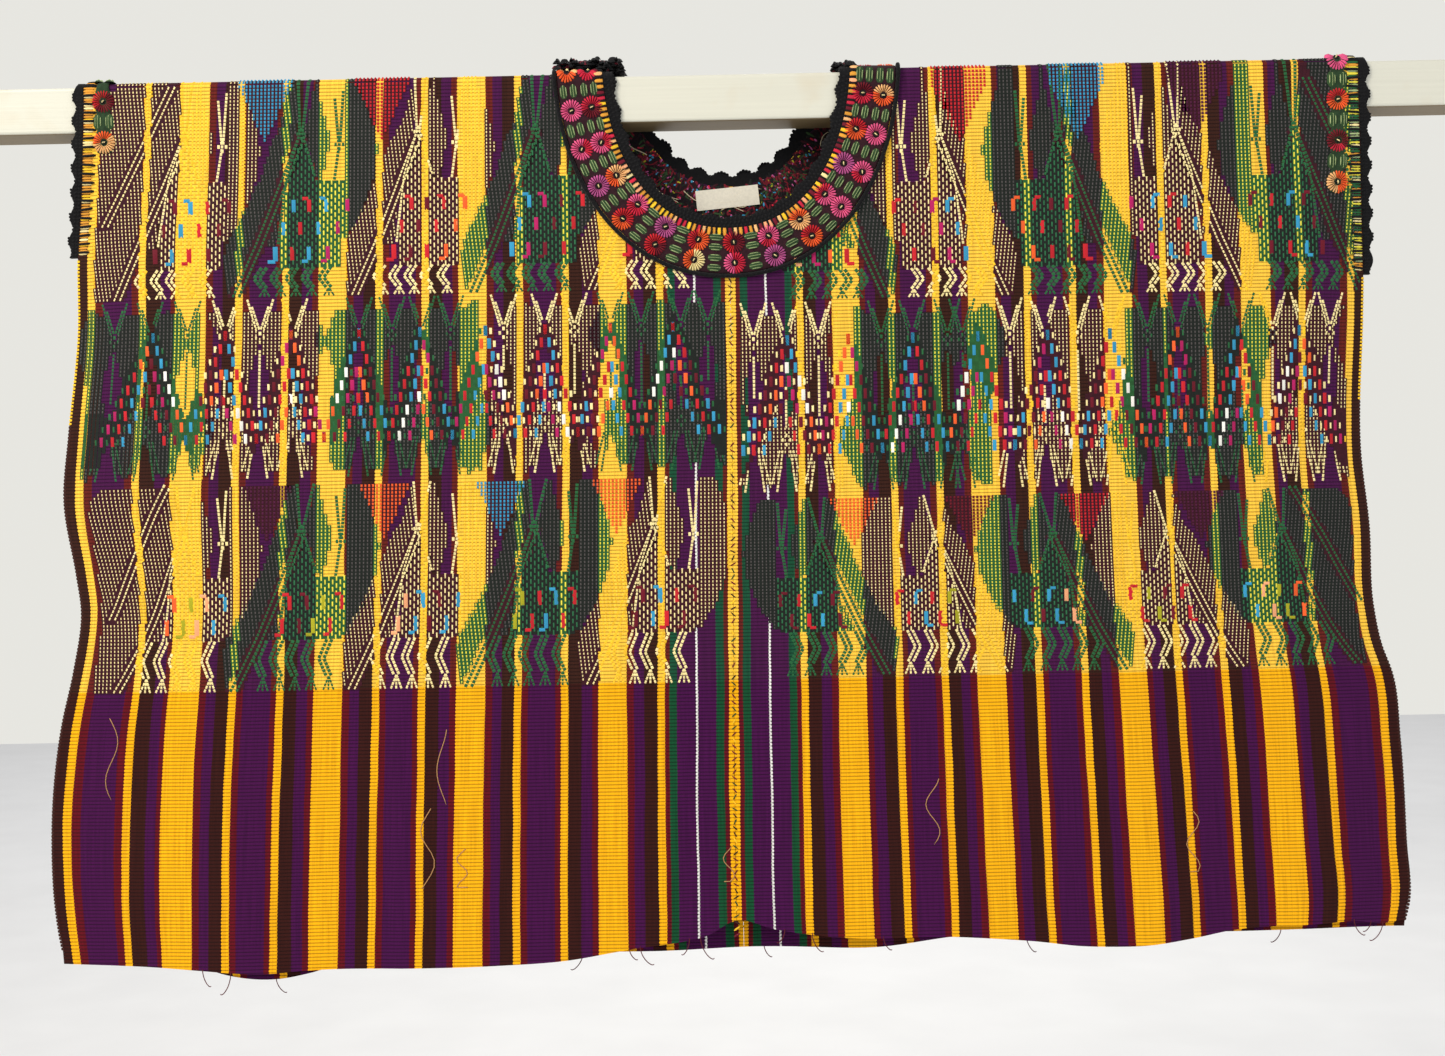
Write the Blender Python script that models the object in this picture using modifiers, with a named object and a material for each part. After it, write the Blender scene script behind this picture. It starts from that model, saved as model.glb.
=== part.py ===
"""Huipil blouse hung flat on a painted square batten.

Two backstrap-woven panels each run from the front hem over the batten to the back hem. They meet
at a centre seam, and front and back meet at the sides below the armholes. A thick embroidered ring
surrounds the neck, and crocheted edgings finish the neck and the armholes.

+X is the wearer's left, seen on the right, the front faces -Y and +Z is up. The origin is the
middle of the batten. A place on the cloth is given by x and by run, the length along the cloth from
the top of the fold: positive down the front, negative down the back.
"""
from math import pi

import bmesh
import bpy
import numpy as np

MM = 0.001

GAP = 0.3 * MM
CLOTH = 2.0 * MM
SEAM_HALF = CLOTH / 2 + GAP / 2

ROD_SIDE = 34 * MM
ROD_LENGTH = 1100 * MM
ROD_EDGE = 2.5 * MM

FLAT_TOP = ROD_SIDE / 2 - ROD_EDGE
BEND = ROD_EDGE + GAP + CLOTH / 2
BEND_RUN = pi / 2 * BEND
HANG_RUN = FLAT_TOP + BEND_RUN
HANG = FLAT_TOP + BEND
STRAIGHT_FROM = -ROD_SIDE / 2

DROP = 620 * MM
PANEL_MIDDLE = 240 * MM
SEAM_DRIFT = -5 * MM
DRIFT_FROM = -100 * MM
DRIFT_DEPTH = 500 * MM
LENS_REACH_TOP = 90 * MM
LENS_REACH_HEM = 210 * MM

NECK_HALF_WIDTH = 91 * MM
NECK_FRONT_RUN = 131 * MM
NECK_BACK_RUN = 94 * MM
NECK_FRONT_FULLNESS = 2.2
NECK_BACK_FULLNESS = 2.0
NECK_BACK_PINCH = 0.10
NECK_PINCH_ANGLE = np.radians(42)
NECK_PINCH_SPREAD = np.radians(20)

BAND_WIDTH = 33 * MM
BAND_THICK = 1.2 * MM
BAND_PAIRS = 29
FLOWER_RADIUS = 7.8 * MM
FLOWER_RISE = 1.5 * MM
LEAF_LENGTH = 6.8 * MM
LEAF_WIDTH = 4.6 * MM
LEAF_RISE = 1.1 * MM
INNER_FLOWERS_AT = 11.5 * MM
OUTER_FLOWERS_AT = 25.5 * MM
CORNER_EASE = 0.8 * MM
CORNER_SPREAD = 8 * MM

BORDER_DIAMETER = 3.0 * MM
EDGING_WIDTH = 9.0 * MM
EDGING_THICK = 2.6 * MM
EDGING_INSET = 1.0 * MM
SCALLOP = 1.4 * MM
NECK_SCALLOPS = 44
ARM_EDGING_WIDTH = 6.4 * MM
ARM_EDGING_THICK = 2.0 * MM
ARM_SCALLOP_PITCH = 15 * MM

COLUMN_PITCH = 29.5 * MM
COLUMN_THICK = 0.9 * MM

LABEL_WIDTH = 47 * MM
LABEL_HEIGHT = 15 * MM
LABEL_THICK = 1.0 * MM
LABEL_CENTRE = (-0.6 * MM, -67.5 * MM)
LABEL_TILT = np.radians(5)


def table(names, *rows):
    """Return rows of millimetres under named columns, as arrays in metres."""
    values = np.array(rows, dtype=float) * MM
    return dict(zip(names.split(), values.T))


LEFT_EDGE = table("height edge", (20, -468), (-65, -472), (-105, -475), (-160, -476), (-235, -484.5),
                  (-285, -489), (-340, -481), (-365, -478), (-410, -484.5), (-450, -494),
                  (-535, -503), (-606, -499), (-622, -496))
RIGHT_EDGE = table("height edge", (20, 460.5), (-100, 461.5), (-137, 461.5), (-167, 460.5),
                   (-268, 457), (-322, 462), (-382, 464), (-411, 469.5), (-431, 476.5),
                   (-480, 481.5), (-558, 484.5), (-602, 485.5), (-614, 482.5))
FRONT_HEM = table("x hem", (-496, -622), (-442, -625), (-350, -631), (-325, -629), (-229, -628),
                  (-179, -629), (-133, -627), (-75, -619), (-43, -616), (-28, -613), (-6, -602),
                  (23, -609), (76, -616), (158, -617.5), (216, -622.5), (246, -626),
                  (310, -624), (330, -622), (360, -617.5), (418, -614.5), (457, -614),
                  (468, -616), (482.5, -614.5))
BACK_HEM = table("x hem", (-496, -625), (-440, -636), (-395, -645), (-350, -643), (-310, -633),
                 (-200, -631), (-60, -629), (0, -627), (105, -629), (160, -622), (300, -624),
                 (482.5, -619))
MIDDLE_GAP = table("height half_gap", (-17, HANG / MM), (-120, 17), (-350, 14), (-645, 12))
FRONT_FOLDS = table("x spread rise from_height drift",
                    (-395, 34, 3.0, -330, 12), (-300, 40, -2.5, -260, 6),
                    (-190, 46, 2.0, -380, 0), (-60, 30, 2.2, -420, -4), (70, 34, 2.0, -430, 4),
                    (205, 30, -2.0, -300, 10), (262, 24, 6.0, -250, 34), (325, 30, -4.0, -280, 40),
                    (400, 30, 3.0, -330, 24))
BACK_FOLDS = table("x spread rise from_height drift",
                   (-380, 40, 4.0, -340, -14), (-250, 44, -3.0, -260, 8), (-110, 36, 3.0, -380, 6),
                   (60, 34, 2.5, -400, -6), (180, 40, -3.0, -300, 12), (310, 38, 4.0, -280, 16),
                   (415, 30, -2.0, -360, 10))
ARMHOLES = {"left": {"edge": LEFT_EDGE, "end": -105 * MM, "column_x": -454 * MM, "flowers": 5},
            "right": {"edge": RIGHT_EDGE, "end": -137 * MM, "column_x": 445 * MM, "flowers": 7}}

NECK_ROW_ANGLES = np.radians((30, 42, 53, 63, 72, 81, 90))
TOP_ROWS = np.array((-1.0, -0.5, 0.0, 0.5, 1.0)) * FLAT_TOP
BEND_ROWS = FLAT_TOP + BEND_RUN * np.array((0.25, 0.5, 0.75, 1.0))
FRONT_ROWS = np.array((35, 50)) * MM
BACK_ROWS = np.array((35,)) * MM
BELOW_FRONT_NECK = np.array((148, 172, 203, 236, 270, 305, 340, 375, 410, 450, 490, 530)) * MM
BELOW_BACK_NECK = np.array((110, 135, 165, 200, 240, 280, 320, 360, 410, 460, 510)) * MM
TO_HEM = (0.35, 0.7, 1.0)
ROW_STEP = 4 * MM
COLUMNS = np.array((0, 0.08, 0.16, 0.24, 0.32, 0.39, 0.46, 0.52, 0.58, 0.64, 0.70, 0.76, 0.82, 0.88,
                    0.93, 0.97, 1.0))

BAND_STATIONS = np.array((-0.30, -0.14, 0.14, 0.30, 0.5))
BAND_TOP_ROWS = np.array((0, 3.7, 8.5, 14.5, 18.5, 22.5, 28.5, 33)) * MM
BAND_UNDER_ROWS = np.array((33, 22, 11, 0)) * MM
FOLD_ZONE = 30 * MM
RING_SAMPLES = 1440

COLOURS = {
    "left_panel": ((0.28, 0.07, 0.30), 0.85),
    "right_panel": ((0.34, 0.08, 0.32), 0.85),
    "neck_band": ((0.72, 0.10, 0.16), 0.7),
    "neck_border": ((0.01, 0.01, 0.012), 0.8),
    "neck_edging": ((0.015, 0.015, 0.018), 0.85),
    "left_armhole_edging": ((0.015, 0.015, 0.018), 0.85),
    "right_armhole_edging": ((0.015, 0.015, 0.018), 0.85),
    "left_embroidery": ((0.80, 0.22, 0.10), 0.7),
    "right_embroidery": ((0.78, 0.14, 0.16), 0.7),
    "label": ((0.82, 0.78, 0.70), 0.75),
    "rod": ((0.86, 0.83, 0.76), 0.45),
}


def ease(value):
    """Smooth step from 0 to 1."""
    t = np.clip(value, 0.0, 1.0)
    return t * t * (3 - 2 * t)


def follow(data, key, column, at):
    """Read a table's column as a smooth curve through its rows, held level past its ends."""
    order = np.argsort(data[key])
    knots, values = data[key][order], data[column][order]
    slopes = np.gradient(values, knots)
    at = np.clip(at, knots[0], knots[-1])
    i = np.clip(np.searchsorted(knots, at) - 1, 0, len(knots) - 2)
    step = knots[i + 1] - knots[i]
    t = (at - knots[i]) / step
    return (values[i] * (2 * t**3 - 3 * t**2 + 1) + values[i + 1] * (3 * t**2 - 2 * t**3)
            + step * (slopes[i] * (t**3 - 2 * t**2 + t) + slopes[i + 1] * (t**3 - t**2)))


def run_at(height):
    """Length along the cloth from the fold to a height on its hanging part."""
    return HANG_RUN + FLAT_TOP - height


def side_gap(x, height, front):
    """Half the distance between the middles of the front and back walls.

    The full gap of the batten closes, like a lens, towards the side seams below the armholes, and
    the folds fade out there too.
    """
    left = x < 0
    edge = np.where(left, follow(LEFT_EDGE, "height", "edge", height),
                    follow(RIGHT_EDGE, "height", "edge", height))
    end = np.where(left, ARMHOLES["left"]["end"], ARMHOLES["right"]["end"])
    closing = ease((STRAIGHT_FROM - height) / (STRAIGHT_FROM - end))
    down = np.clip((end - height) / (DROP + end), 0, 1)
    reach = LENS_REACH_TOP + (LENS_REACH_HEM - LENS_REACH_TOP) * down
    inset = np.clip((np.abs(edge) - np.abs(x)) / reach, 0, 1)
    keep = 1 - closing * (1 - inset) ** 2
    folds = FRONT_FOLDS if front else BACK_FOLDS
    wave = 0.0
    for mid, spread, rise, top, drift in zip(*folds.values()):
        grown = ease((top - height) / (DROP + top))
        wave = wave + rise * grown * np.exp(-((x - mid - drift * grown) / spread) ** 2)
    middle = follow(MIDDLE_GAP, "height", "half_gap", height)
    return SEAM_HALF + (middle - SEAM_HALF + wave) * keep


def cloth_middle(x, run):
    """Point in the middle of the cloth's thickness at x and run."""
    x, run = np.broadcast_arrays(np.asarray(x, float), np.asarray(run, float))
    length = np.abs(run)
    turn = np.clip((length - FLAT_TOP) / BEND, 0, pi / 2)
    out = np.minimum(length, FLAT_TOP) + BEND * np.sin(turn)
    height = FLAT_TOP + BEND * np.cos(turn) - np.maximum(length - HANG_RUN, 0)
    gap = np.where(run > 0, side_gap(x, height, True), side_gap(x, height, False))
    out = np.where(height < STRAIGHT_FROM, gap, out)
    return np.stack((x, -np.sign(run) * out, height), axis=-1)


def on_cloth(x, run, lift):
    """Point lifted from the middle of the cloth, outwards where lift is positive."""
    step = 0.2 * MM
    middle = cloth_middle(x, run)
    along_x = cloth_middle(x + step, run) - cloth_middle(x - step, run)
    along_run = cloth_middle(x, run + step) - cloth_middle(x, run - step)
    normal = np.cross(along_run, along_x)
    normal /= np.linalg.norm(normal, axis=-1, keepdims=True)
    return middle + normal * np.asarray(lift)[..., None]


def neck_radius(angle):
    """Distance from the neck's centre on the fold to its cut edge, on the flattened cloth."""
    front = np.sin(angle) >= 0
    depth = np.where(front, NECK_FRONT_RUN, NECK_BACK_RUN)
    power = np.where(front, NECK_FRONT_FULLNESS, NECK_BACK_FULLNESS)
    oval = ((np.abs(np.cos(angle)) / NECK_HALF_WIDTH) ** power
            + (np.abs(np.sin(angle)) / depth) ** power) ** (-1 / power)
    from_fold = np.arctan2(np.abs(np.sin(angle)), np.abs(np.cos(angle)))
    pinch = NECK_BACK_PINCH * np.exp(-((from_fold - NECK_PINCH_ANGLE) / NECK_PINCH_SPREAD) ** 2)
    return oval * np.where(front, 1.0, 1 - pinch * ease(from_fold / NECK_PINCH_ANGLE))


def neck_rows(front):
    """Rows through the neck opening: each row's run and the neck's half width there."""
    angles = NECK_ROW_ANGLES if front else -NECK_ROW_ANGLES
    radii = neck_radius(angles)
    return radii * np.abs(np.sin(angles)), radii * np.cos(angles)


def neck_half_width(run, front):
    """Half width of the neck opening at a run near the fold."""
    angles = np.linspace(0, pi / 2, 181) * (1 if front else -1)
    radii = neck_radius(angles)
    return np.interp(run, radii * np.abs(np.sin(angles)), radii * np.cos(angles))


def panel_half_rows(front):
    """Rows of one panel from beside the fold's flat top to the hem, as (run, half width of neck).

    The last rows hold a share of the way to the hem in place of a run.
    """
    first = FRONT_ROWS if front else BACK_ROWS
    below = BELOW_FRONT_NECK if front else BELOW_BACK_NECK
    runs = np.concatenate((BEND_ROWS, first))
    rows = [(run, neck_half_width(run, front), None) for run in runs]
    rows += [(run, width, None) for run, width in zip(*neck_rows(front)) if run > runs[-1] + ROW_STEP]
    rows += [(run, 0.0, None) for run in below]
    rows += [(below[-1], 0.0, share) for share in TO_HEM]
    return rows


def panel_row(side, front, run, neck_width, share):
    """One row of points of a panel's middle surface, from the seam or neck to the outer edge."""
    sign = -1 if side == "left" else 1
    hem = FRONT_HEM if front else BACK_HEM
    hem_middle = follow(hem, "x", "hem", sign * PANEL_MIDDLE)
    height = FLAT_TOP + HANG_RUN - run
    if share is not None:
        height += (hem_middle - height) * share
    drift = SEAM_DRIFT * ease((DRIFT_FROM - height) / DRIFT_DEPTH) if front else 0.0
    inner = sign * max(neck_width, GAP / 2) + (drift if neck_width < GAP else 0.0)
    outer = follow(ARMHOLES[side]["edge"], "height", "edge", min(height, 20 * MM))
    x = inner + (outer - inner) * COLUMNS
    runs = np.full(len(x), run)
    if share is not None:
        runs += (run_at(follow(hem, "x", "hem", x)) - run) * share
    return cloth_middle(x, runs if front else -runs)


def panel_grid(side):
    """Grid of points over one panel, from the front hem over the fold to the back hem."""
    front = [panel_row(side, True, *row) for row in panel_half_rows(True)]
    back = [panel_row(side, False, *row) for row in panel_half_rows(False)]
    top = [panel_row(side, run > 0, abs(run), neck_half_width(abs(run), run > 0), None)
           for run in TOP_ROWS[::-1]]
    return np.array(front[::-1] + top + back)


def add_object(name, mesh, collection):
    """Link a mesh as a named object with its own material."""
    colour, roughness = COLOURS[name]
    material = bpy.data.materials.new(name)
    material.use_nodes = True
    shader = material.node_tree.nodes["Principled BSDF"]
    shader.inputs["Base Color"].default_value = (*colour, 1.0)
    shader.inputs["Roughness"].default_value = roughness
    shader.inputs["Metallic"].default_value = 0.0
    mesh.materials.append(material)
    item = bpy.data.objects.new(name, mesh)
    collection.objects.link(item)
    return item


def cloth_sheet(name, grid, collection):
    """Build an open surface over a grid of points and give it the cloth's thickness."""
    rows, columns = grid.shape[:2]
    index = np.arange(rows * columns).reshape(rows, columns)
    faces = np.stack((index[:-1, :-1], index[1:, :-1], index[1:, 1:], index[:-1, 1:]), axis=-1)
    mesh = bpy.data.meshes.new(name)
    mesh.from_pydata(grid.reshape(-1, 3).tolist(), [], faces.reshape(-1, 4).tolist())
    item = add_object(name, mesh, collection)
    wall = item.modifiers.new("thickness", "SOLIDIFY")
    wall.thickness = CLOTH
    wall.offset = 0.0
    wall.use_even_offset = True
    mesh.shade_smooth()
    return item


def loft(name, sections, closed, collection):
    """Join closed sections, each a loop of points, into one solid; open runs get end caps."""
    count, size = sections.shape[:2]
    index = np.arange(count * size).reshape(count, size)
    if closed:
        index = np.vstack((index, index[:1]))
    after = np.roll(index, -1, axis=1)
    faces = np.stack((index[:-1], after[:-1], after[1:], index[1:]), axis=-1).reshape(-1, 4).tolist()
    if not closed:
        faces += [index[0][::-1].tolist(), index[-1].tolist()]
    mesh = bpy.data.meshes.new(name)
    mesh.from_pydata(sections.reshape(-1, 3).tolist(), [], faces)
    work = bmesh.new()
    work.from_mesh(mesh)
    bmesh.ops.recalc_face_normals(work, faces=work.faces)
    work.to_mesh(mesh)
    work.free()
    mesh.shade_smooth()
    mesh.set_sharp_from_angle(angle=np.radians(40))
    return add_object(name, mesh, collection)


def neck_ring():
    """Samples round the neck's cut edge: place, outward direction and share of the way round.

    Shares are measured along the middle of the embroidered band, so that stations spaced evenly
    in them are evenly spaced there.
    """
    angles = np.linspace(0, 2 * pi, RING_SAMPLES, endpoint=False)
    radii = neck_radius(angles)
    edge = np.stack((radii * np.cos(angles), radii * np.sin(angles)), axis=-1)
    along = np.roll(edge, -1, axis=0) - np.roll(edge, 1, axis=0)
    along /= np.linalg.norm(along, axis=-1, keepdims=True)
    outward = np.stack((along[:, 1], -along[:, 0]), axis=-1)
    middle = edge + outward * BAND_WIDTH / 2
    steps = np.linalg.norm(np.roll(middle, -1, axis=0) - middle, axis=-1)
    share = np.concatenate(((0,), np.cumsum(steps)))
    return edge, outward, share[:-1] / share[-1], share[-1]


def ring_place(ring, share, offset):
    """Flat place at a share of the way round the neck, offset outwards from the cut edge."""
    edge, outward, shares, _ = ring
    columns = [np.interp(share, shares, values, period=1.0)
               for values in (edge[:, 0], edge[:, 1], outward[:, 0], outward[:, 1])]
    x, run, out_x, out_run = columns
    return x + out_x * offset, run + out_run * offset


def corner_ease(run):
    """Extra height of stiff trim where it bends over the batten's edges."""
    middle = FLAT_TOP + BEND_RUN / 2
    return CORNER_EASE * np.exp(-((np.abs(run) - middle) / CORNER_SPREAD) ** 2)


def with_fold_stations(ring, shares):
    """Halve the steps between the stations that lie near the fold."""
    after = np.append(shares[1:], shares[0] + 1)
    halfway = (shares + after) / 2 % 1
    _, run = ring_place(ring, halfway, BAND_WIDTH / 2)
    return np.sort(np.concatenate((shares, halfway[np.abs(run) < FOLD_ZONE])))


def band_relief(share, offset, length):
    """Height of the flowers and leaf pairs above the band at a share and offset."""
    pitch = length / BAND_PAIRS
    from_flower = ((share * BAND_PAIRS + 0.5) % 1 - 0.5) * pitch
    from_leaf = ((share * BAND_PAIRS) % 1 - 0.5) * pitch
    height = np.zeros(np.broadcast(share, offset).shape)
    for row in (INNER_FLOWERS_AT, OUTER_FLOWERS_AT):
        across = offset - row
        flower = 1 - (from_flower**2 + across**2) / FLOWER_RADIUS**2
        leaf = 1 - (from_leaf / LEAF_WIDTH) ** 2 - (across / LEAF_LENGTH) ** 2
        height = np.maximum(height, FLOWER_RISE * np.sqrt(np.clip(flower, 0, 1)))
        height = np.maximum(height, LEAF_RISE * np.sqrt(np.clip(leaf, 0, 1)))
    return height


def neck_band(ring, collection):
    """Embroidered ring on the panels round the neck, its flowers and leaves raised."""
    steps = (np.arange(BAND_PAIRS)[:, None] + BAND_STATIONS).reshape(-1) / BAND_PAIRS
    shares = with_fold_stations(ring, np.sort(steps % 1))[:, None]
    under = CLOTH / 2 + GAP
    top_x, top_run = ring_place(ring, shares, BAND_TOP_ROWS)
    relief = band_relief(shares, BAND_TOP_ROWS, ring[3])
    top = on_cloth(top_x, top_run, under + BAND_THICK + relief + corner_ease(top_run))
    low_x, low_run = ring_place(ring, shares, BAND_UNDER_ROWS)
    low = on_cloth(low_x, low_run, under + corner_ease(low_run))
    return loft("neck_band", np.concatenate((top, low), axis=1), True, collection)


def neck_border(ring, collection):
    """Black cord that borders the band on its outer side."""
    shares = with_fold_stations(ring, np.arange(112) / 112)
    radius = BORDER_DIAMETER / 2
    x, run = ring_place(ring, shares, BAND_WIDTH + GAP + radius)
    points = on_cloth(x, run, CLOTH / 2 + GAP + radius + corner_ease(run))
    curve = bpy.data.curves.new("neck_border", "CURVE")
    curve.dimensions = "3D"
    curve.bevel_depth = radius
    curve.bevel_resolution = 1
    spline = curve.splines.new("POLY")
    spline.points.add(len(points) - 1)
    spline.points.foreach_set("co", np.column_stack((points, np.ones(len(points)))).ravel())
    spline.use_cyclic_u = True
    guide = bpy.data.objects.new("neck_border_path", curve)
    collection.objects.link(guide)
    shape = guide.evaluated_get(bpy.context.evaluated_depsgraph_get())
    mesh = bpy.data.meshes.new_from_object(shape)
    bpy.data.objects.remove(guide)
    mesh.shade_smooth()
    return add_object("neck_border", mesh, collection)


def flat_section(x, run, thick):
    """Sections of a flat strip whose inner side is level with the cloth's own inner side."""
    inside = corner_ease(run) - CLOTH / 2
    outer = on_cloth(x, run, inside + thick)
    inner = on_cloth(x, run, inside)
    return np.concatenate((outer, inner[:, ::-1]), axis=1)


def neck_edging(ring, collection):
    """Crocheted strip inside the neck's cut edge, scalloped on its free side."""
    shares = with_fold_stations(ring, np.arange(3 * NECK_SCALLOPS) / (3 * NECK_SCALLOPS))
    scallop = SCALLOP * np.abs(np.sin(pi * shares * NECK_SCALLOPS))
    free_side = -(EDGING_WIDTH - SCALLOP) - scallop
    offsets = np.stack((free_side, free_side * 0.5, np.full(len(shares), -EDGING_INSET)),
                       axis=-1)
    x, run = ring_place(ring, shares[:, None], offsets)
    return loft("neck_edging", flat_section(x, run, EDGING_THICK), True, collection)


def armhole_runs(end):
    """Stations over the fold from the front end of an armhole to its back end."""
    hang = np.arange(HANG_RUN + 4 * MM, run_at(end), ARM_SCALLOP_PITCH / 3)
    half = np.concatenate(([0, FLAT_TOP / 2, FLAT_TOP], BEND_ROWS, hang, [run_at(end)]))
    return np.concatenate((half[:0:-1], -half))


def armhole_edging(side, collection):
    """Crocheted strip along an armhole, scalloped outwards, just outside the cloth's edge."""
    hole = ARMHOLES[side]
    sign = -1 if side == "left" else 1
    runs = armhole_runs(hole["end"])
    heights = np.minimum(FLAT_TOP + HANG_RUN - np.abs(runs), 20 * MM)
    edge = follow(hole["edge"], "height", "edge", heights)
    scallop = SCALLOP * np.abs(np.sin(pi * runs / ARM_SCALLOP_PITCH))
    wide = ARM_EDGING_WIDTH - SCALLOP + scallop
    x = edge[:, None] + sign * np.stack((np.full(len(runs), GAP), wide), axis=-1)
    section = flat_section(x, np.broadcast_to(runs[:, None], x.shape), ARM_EDGING_THICK)
    return loft(f"{side}_armhole_edging", section, False, collection)


def armhole_embroidery(side, collection):
    """Column of raised flowers and leaf pairs beside an armhole, over the fold."""
    hole = ARMHOLES[side]
    end = (hole["flowers"] - 1) / 2 * COLUMN_PITCH + FLOWER_RADIUS
    regular = np.arange(HANG_RUN, end - 1 * MM, COLUMN_PITCH / 6)
    half = np.concatenate(([0, FLAT_TOP / 2, FLAT_TOP], BEND_ROWS, regular[1:], [end]))
    runs = np.concatenate((half[:0:-1], -half))
    from_flower = (runs / COLUMN_PITCH + 0.5) % 1 - 0.5
    near = np.clip(np.abs(from_flower) * COLUMN_PITCH / FLOWER_RADIUS, 0, 1)
    half_width = np.maximum(FLOWER_RADIUS * np.sqrt(1 - near**2), 0.75 * LEAF_LENGTH)
    rise = np.where(near < 1, FLOWER_RISE * np.sqrt(1 - near**2), LEAF_RISE * 0.9)
    rise = np.maximum(rise, 0.4 * LEAF_RISE)
    x = hole["column_x"] + half_width[:, None] * np.array((-1, -0.6, 0, 0.6, 1))
    run = np.broadcast_to(runs[:, None], x.shape)
    crown = rise[:, None] * np.array((0, 0.8, 1, 0.8, 0))
    under = CLOTH / 2 + GAP + corner_ease(run)
    top = on_cloth(x, run, under + COLUMN_THICK + crown)
    low = on_cloth(x[:, ::-2], run[:, ::-2], under[:, ::-2])
    sections = np.concatenate((top, low), axis=1)
    return loft(f"{side}_embroidery", sections, False, collection)


def label(collection):
    """Bare woven tag sewn inside the back of the neck."""
    across = np.array((-0.5, 0.0, 0.5)) * LABEL_WIDTH
    tilt = np.array(((np.cos(LABEL_TILT), -np.sin(LABEL_TILT)),
                     (np.sin(LABEL_TILT), np.cos(LABEL_TILT))))
    sections = []
    for along in across:
        corners = np.array(((along, -LABEL_HEIGHT / 2), (along, LABEL_HEIGHT / 2))) @ tilt.T
        x = LABEL_CENTRE[0] + corners[:, 0]
        run = -run_at(LABEL_CENTRE[1] + corners[:, 1])
        near = on_cloth(x, run, -np.full(2, CLOTH / 2 + GAP))
        far = on_cloth(x, run, -np.full(2, CLOTH / 2 + GAP + LABEL_THICK))
        sections.append(np.concatenate((near, far[::-1])))
    return loft("label", np.array(sections), False, collection)


def rod(collection):
    """Square painted batten that carries the blouse, its long edges eased."""
    bpy.ops.mesh.primitive_cube_add(size=1.0)
    item = bpy.context.object
    item.data.transform(np.diag((ROD_LENGTH, ROD_SIDE, ROD_SIDE, 1.0)).tolist())
    mesh = item.data
    bpy.data.objects.remove(item)
    item = add_object("rod", mesh, collection)
    edges = item.modifiers.new("eased edges", "BEVEL")
    edges.width = ROD_EDGE
    edges.segments = 3
    edges.limit_method = "WEIGHT"
    weights = mesh.attributes.new("bevel_weight_edge", "FLOAT", "EDGE")
    ends = np.array([mesh.vertices[i].co.x for edge in mesh.edges for i in edge.vertices])
    lengthwise = ends[0::2] * ends[1::2] < 0
    weights.data.foreach_set("value", lengthwise.astype(float))
    return item


def main():
    """Build every piece of the blouse and the batten in one collection."""
    for item in list(bpy.data.objects):
        bpy.data.objects.remove(item)
    collection = bpy.data.collections.new("huipil_on_rod")
    bpy.context.scene.collection.children.link(collection)
    ring = neck_ring()
    for side in ARMHOLES:
        cloth_sheet(f"{side}_panel", panel_grid(side), collection)
        armhole_edging(side, collection)
        armhole_embroidery(side, collection)
    neck_band(ring, collection)
    neck_border(ring, collection)
    neck_edging(ring, collection)
    label(collection)
    rod(collection)


main()
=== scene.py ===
"""Looks of a huipil blouse that hangs on a painted square batten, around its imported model.

The two woven panels are thin shells on the form of their solids. Their stripes, ribs and dye
changes are in the cloth's material, and their brocade lies on them as raised weft floats.
Satin-stitched flowers, blanket stitches, crochet and thread ends are small raised stitches on the
same form.

+X is to the right of the photograph, the front faces -Y and +Z is up. A place on the cloth is given
by x and by run, the length along the cloth from the top of the fold, positive down the front.
"""
from __future__ import annotations

import logging
from dataclasses import dataclass
from enum import Enum
from math import pi

import bpy
import numpy as np
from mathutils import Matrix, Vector


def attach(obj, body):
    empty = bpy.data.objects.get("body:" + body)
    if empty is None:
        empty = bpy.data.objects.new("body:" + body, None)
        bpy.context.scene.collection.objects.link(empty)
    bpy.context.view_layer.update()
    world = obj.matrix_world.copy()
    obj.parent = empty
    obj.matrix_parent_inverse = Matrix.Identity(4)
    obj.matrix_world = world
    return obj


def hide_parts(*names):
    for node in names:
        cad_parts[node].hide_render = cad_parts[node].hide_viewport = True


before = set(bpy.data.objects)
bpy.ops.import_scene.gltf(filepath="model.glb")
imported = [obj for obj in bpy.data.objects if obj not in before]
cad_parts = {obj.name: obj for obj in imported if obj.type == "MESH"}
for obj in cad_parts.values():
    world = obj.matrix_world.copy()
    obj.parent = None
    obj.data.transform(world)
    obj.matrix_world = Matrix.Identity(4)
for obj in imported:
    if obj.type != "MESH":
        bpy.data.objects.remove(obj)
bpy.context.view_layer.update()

LOG = logging.getLogger("huipil")
MM = 0.001
SEED = 20


class Side(Enum):
    """The two panels, by their side of the photograph."""

    LEFT = -1
    RIGHT = 1


class Face(Enum):
    """The side of the blouse that a piece of cloth hangs on."""

    FRONT = 1
    BACK = -1


class Yarn(Enum):
    """Cotton yarns of the brocade and the embroidery, by their colour."""

    CREAM = "#F6E3A0"
    YELLOW = "#F7C52A"
    LEMON = "#E9DC46"
    GREEN = "#236036"
    DEEP_GREEN = "#524D4C"
    BODY_GREEN = "#2A6B44"
    WEFT_GREEN = "#151B16"
    BRIGHT_WEFT = "#22562A"
    WEFT_MAROON = "#370817"
    RED = "#C4202A"
    MAROON = "#6A0F22"
    PLUM = "#4E1238"
    ORANGE = "#F0602A"
    BLUE = "#3595BE"
    WHITE = "#F2F0E6"
    OLIVE = "#A6A21E"
    MAGENTA = "#B01A5C"
    PEACH = "#F2A878"
    PINK = "#E65C8C"
    CRIMSON = "#CE2440"
    MAUVE = "#B9568F"
    DARK_RED = "#6E1020"
    APRICOT = "#F5BC7C"
    LEAF = "#A2B37C"
    MOSS = "#2C4726"
    AMBER = "#DE9A34"
    BLACK = "#0C0C0E"
    BROWN = "#3B1D16"


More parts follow.
